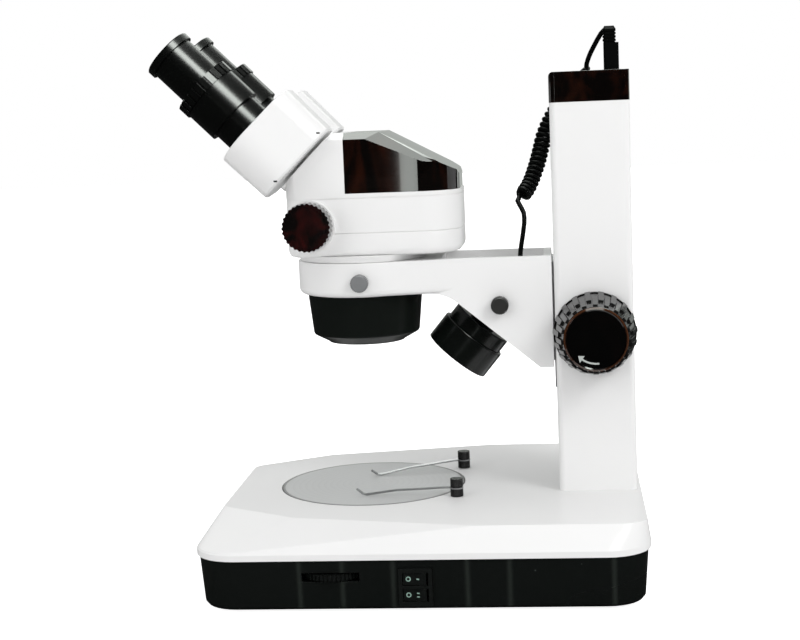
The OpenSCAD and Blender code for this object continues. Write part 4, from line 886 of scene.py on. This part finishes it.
# the focus knobs' sleeves: raised blocks on a cone, in turn at its wide and its narrow end
focusGrip = {
    "blocks": 38,
    "share": 0.84,             # how much of each pitch a block fills
    "startX": 36.4,
    "length": 26.0,
    "blockLength": 16.4,
    "startRadius": 26.9,
    "endRadius": 21.6,
    "relief": 1.4,
    "bore": 16.2,
    "gap": 0.4,
    "root": 0.3,               # how far each block goes into the sleeve
    "sleeveSides": 96,
    "blockSteps": 4,
    "edge": dict(width=0.25, steps=2, angle=40),
    "centre": (149.7, 152.2),
}


def ringPoint(work, side, x, radius, degrees, centre):
    y, z = centre
    turn = math.radians(degrees)
    return work.verts.new((side * x, y + radius * math.sin(turn), z + radius * math.cos(turn)))


def addBlock(work, side, span, radii, turns, centre):
    # corners in two layers, inner then outer, at both ends of each turn
    grid = [[[ringPoint(work, side, x, r, a, centre) for a in turns] for x, r in zip(span, pair)]
            for pair in radii]
    last = len(turns) - 1
    for k in range(last):
        for layer in grid:
            work.faces.new((layer[0][k], layer[0][k + 1], layer[1][k + 1], layer[1][k]))
        for end in (0, 1):
            work.faces.new((grid[0][end][k], grid[0][end][k + 1], grid[1][end][k + 1], grid[1][end][k]))
    for k in (0, last):
        work.faces.new((grid[0][0][k], grid[0][1][k], grid[1][1][k], grid[1][0][k]))


def buildFocusGrips(values):
    work = bmesh.new()
    pitch = 360 / values["blocks"]
    slope = (values["endRadius"] - values["startRadius"]) / values["length"]
    centre, sides, steps = values["centre"], values["sleeveSides"], values["blockSteps"]
    farStart = values["length"] - values["gap"] - values["blockLength"]
    profile = [(0, values["bore"]), (0, values["startRadius"] - values["relief"]),
               (values["length"], values["endRadius"] - values["relief"]),
               (values["length"], values["bore"])]
    for side in hands:
        rings = [[ringPoint(work, side, values["startX"] + x, r, 360 * k / sides, centre)
                  for k in range(sides)] for x, r in profile]
        for ring, other in zip(rings, rings[1:] + rings[:1]):
            for k in range(sides):
                n = (k + 1) % sides
                work.faces.new((ring[k], ring[n], other[n], other[k]))
        for k in range(values["blocks"]):
            near = values["gap"] if k % 2 else farStart
            ends = [near, near + values["blockLength"]]
            tops = [values["startRadius"] + slope * x for x in ends]
            floors = [r - values["relief"] - values["root"] for r in tops]
            turns = [pitch * (k + values["share"] * (i / steps - 0.5)) for i in range(steps + 1)]
            addBlock(work, side, [values["startX"] + x for x in ends], (floors, tops), turns, centre)
    obj = addPiece("focusGripBlocks", finishMesh(work, "focusGripBlocks"), "gripRubber", "focus_knobs")
    roundEdges(obj, values["edge"])
    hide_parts("focus_grips")


buildFocusGrips(focusGrip)

# the bright eye of each spring wire, between the halves of its clip post
clipEye = dict(outer=4.35, inner=3.0, low=5.3, high=6.15, centre=(40.5, 58.7), base=49.0, sides=48)


def buildClipEye(side, values):
    work = bmesh.new()
    x, y = values["centre"]
    place = Matrix.Translation((side * x, y, values["base"] + values["low"]))
    thick = values["high"] - values["low"]
    flatRing(work, values["outer"], values["inner"], thick, place, values["sides"])
    name = "clipEye" + hands[side].title()
    addPiece(name, finishMesh(work, name), "springSteel", "clip_" + hands[side])


for side in hands:
    buildClipEye(side, clipEye)
print("grips and clip eyes built")

# painted shade: thin dark plates standing for the shade in the short slots where each prism box's outer
# cheek is clipped on
cheekSlotShade = {
    "length": 2.4,
    "width": 1.1,
    "thick": 0.16,
    "sink": 0.08,
    "spots": [((48.7, -19.5, 285.0), (0.752, 0.478, 0.454)),      # place and facing
              ((56.3, -46.7, 256.2), (0.947, -0.215, -0.239))],
}


def buildCheekSlotShades(side, values):
    work = bmesh.new()
    outline = plateOutline(values["length"], values["width"])
    for spot, facing in values["spots"]:
        normal = Vector((side * facing[0], facing[1], facing[2])).normalized()
        base = Vector((side * spot[0], spot[1], spot[2])) - normal * values["sink"]
        place = Matrix.Translation(base) @ normal.to_track_quat("Z", "Y").to_matrix().to_4x4()
        # each a dark plate, painted shade for the inside of a slot
        flatPlate(work, outline, values["thick"], place)
    name = "cheekSlotShades" + hands[side].title()
    addPiece(name, finishMesh(work, name), "controlBlack", "prism_" + hands[side])


for side in hands:
    buildCheekSlotShades(side, cheekSlotShade)
print("cheek slots built")

# studio: pale floor, white surround and soft lamps; gloss sees the cards and little else
studio = {
    "floorLevel": -0.0025,
    "floorHalf": 6.0,
    "floorGrey": 0.74,
    "floorGlow": 0.90,
    "floorSheen": 0.03,        # how pale the floor looks in glossy surfaces
    "floorSkin": dict(grain=300.0, patch=2.0, rough=0.6, uneven=0.05),
    "worldLight": 0.83,
    "worldSheen": 0.012,       # how bright the surround looks in glossy surfaces
    "lamps": {
        "keyLamp": dict(place=(1.30, 1.50, 1.50), aim=(0, 0.05, 0.15), size=(0.9, 0.9), power=18),
        "fillLamp": dict(place=(1.70, -1.50, 0.90), aim=(0, 0.05, 0.15), size=(1.2, 1.2), power=7),
        "topLamp": dict(place=(0.0, 0.25, 2.20), aim=(0, 0.25, 0.0), size=(1.6, 1.2), power=2),
    },
    # reflector cards, seen only in gloss
    "cards": {
        "ceilingCard": dict(place=(-0.70, 0.14, 2.00), aim=(-0.70, 0.14, 0.0),
                            size=(3.2, 1.28), power=56),
        "backCard": dict(place=(-2.20, 0.10, 0.305), aim=(0, 0.10, 0.305),
                         size=(4.4, 0.60), power=4.0),
        "highCard": dict(place=(-2.20, 0.15, 1.36), aim=(0, 0.15, 1.36),
                         size=(3.6, 0.70), power=16),
        "softCard": dict(place=(1.23, 0.71, 1.72), aim=(0.03, -0.10, 0.33),
                         size=(0.80, 0.80), power=36),
        "rearCard": dict(place=(-1.90, 2.00, 0.23), aim=(-1.90, 0, 0.23),
                         size=(2.0, 0.46), power=2.4),
        "sideStrip": dict(place=(1.50, -0.098, 0.21), aim=(0.04, 0.03, 0.26),
                          size=(0.030, 0.40), power=0.17),
    },
    "cardTint": (0.95, 1.0, 0.95),
}


def raySwitch(tree, place, plain, gloss):
    # one level for glossy rays and one for the rest, and what the camera sees, also through glass
    x, y = place
    rays = addNode(tree, "LightPath", (x - 200, y))
    level = addNode(tree, "MapRange", place)
    level.inputs["To Min"].default_value = plain
    level.inputs["To Max"].default_value = gloss
    wire(tree, rays.outputs["Is Glossy Ray"], level.inputs["Value"])
    seen = mathNode(tree, "MAXIMUM", (x, y + 200), rays.outputs["Is Camera Ray"],
                    rays.outputs["Is Transmission Ray"])
    return level.outputs[0], seen


def floorFinish(values):
    material, tree, shader = startMaterial("paleFloor")
    skin = placeSkin(tree, (-300, 0), values["floorSkin"])
    wire(tree, skin["Roughness"], shader.inputs["Roughness"])
    shader.inputs["Specular IOR Level"].default_value = 0.0
    grey, seen = raySwitch(tree, (-100, 250), values["floorGrey"], values["floorSheen"])
    wire(tree, grey, shader.inputs["Base Color"])
    glow = mathNode(tree, "MULTIPLY", (200, 450), seen, values["floorGlow"])
    shader.inputs["Emission Color"].default_value = (1, 1, 1, 1)
    wire(tree, glow, shader.inputs["Emission Strength"])
    return material


def buildFloor(values):
    mesh = bpy.data.meshes.new("studioFloor")
    half, level = values["floorHalf"], values["floorLevel"]
    mesh.from_pydata([(x, y, level) for x, y in plateOutline(2 * half, 2 * half)], [], [(0, 1, 2, 3)])
    floor = bpy.data.objects.new("studioFloor", mesh)
    scene.collection.objects.link(floor)
    mesh.materials.append(floorFinish(values))


def buildSurround(values):
    world = bpy.data.worlds.new("paleSurround")
    scene.world = world
    world.use_nodes = True
    tree = world.node_tree
    tree.nodes.clear()
    out = addNode(tree, "OutputWorld", (700, 0))
    sky = addNode(tree, "Background", (450, 0))
    soft, seen = raySwitch(tree, (-100, -150), values["worldLight"], values["worldSheen"])
    wire(tree, mathNode(tree, "MAXIMUM", (250, 0), seen, soft), sky.inputs["Strength"])
    sky.inputs["Color"].default_value = (1, 1, 1, 1)
    wire(tree, sky.outputs[0], out.inputs[0])


def addLamp(name, lamp, isCard, tint):
    data = bpy.data.lights.new(name, "AREA")
    data.shape = "RECTANGLE"
    data.size, data.size_y = lamp["size"]
    data.energy = lamp["power"]
    if isCard:
        data.color = tint
    obj = bpy.data.objects.new(name, data)
    scene.collection.objects.link(obj)
    obj.location = lamp["place"]
    toward = Vector(lamp["aim"]) - Vector(lamp["place"])
    obj.rotation_euler = toward.to_track_quat("-Z", "Y").to_euler()
    obj.visible_camera = False
    obj.visible_transmission = False
    obj.visible_glossy = isCard
    obj.visible_diffuse = not isCard


def buildStudio(values):
    buildFloor(values)
    buildSurround(values)
    for name, lamp in {**values["lamps"], **values["cards"]}.items():
        addLamp(name, lamp, name in values["cards"], values["cardTint"])
    scene.view_settings.view_transform = "Standard"


buildStudio(studio)
print("studio built")
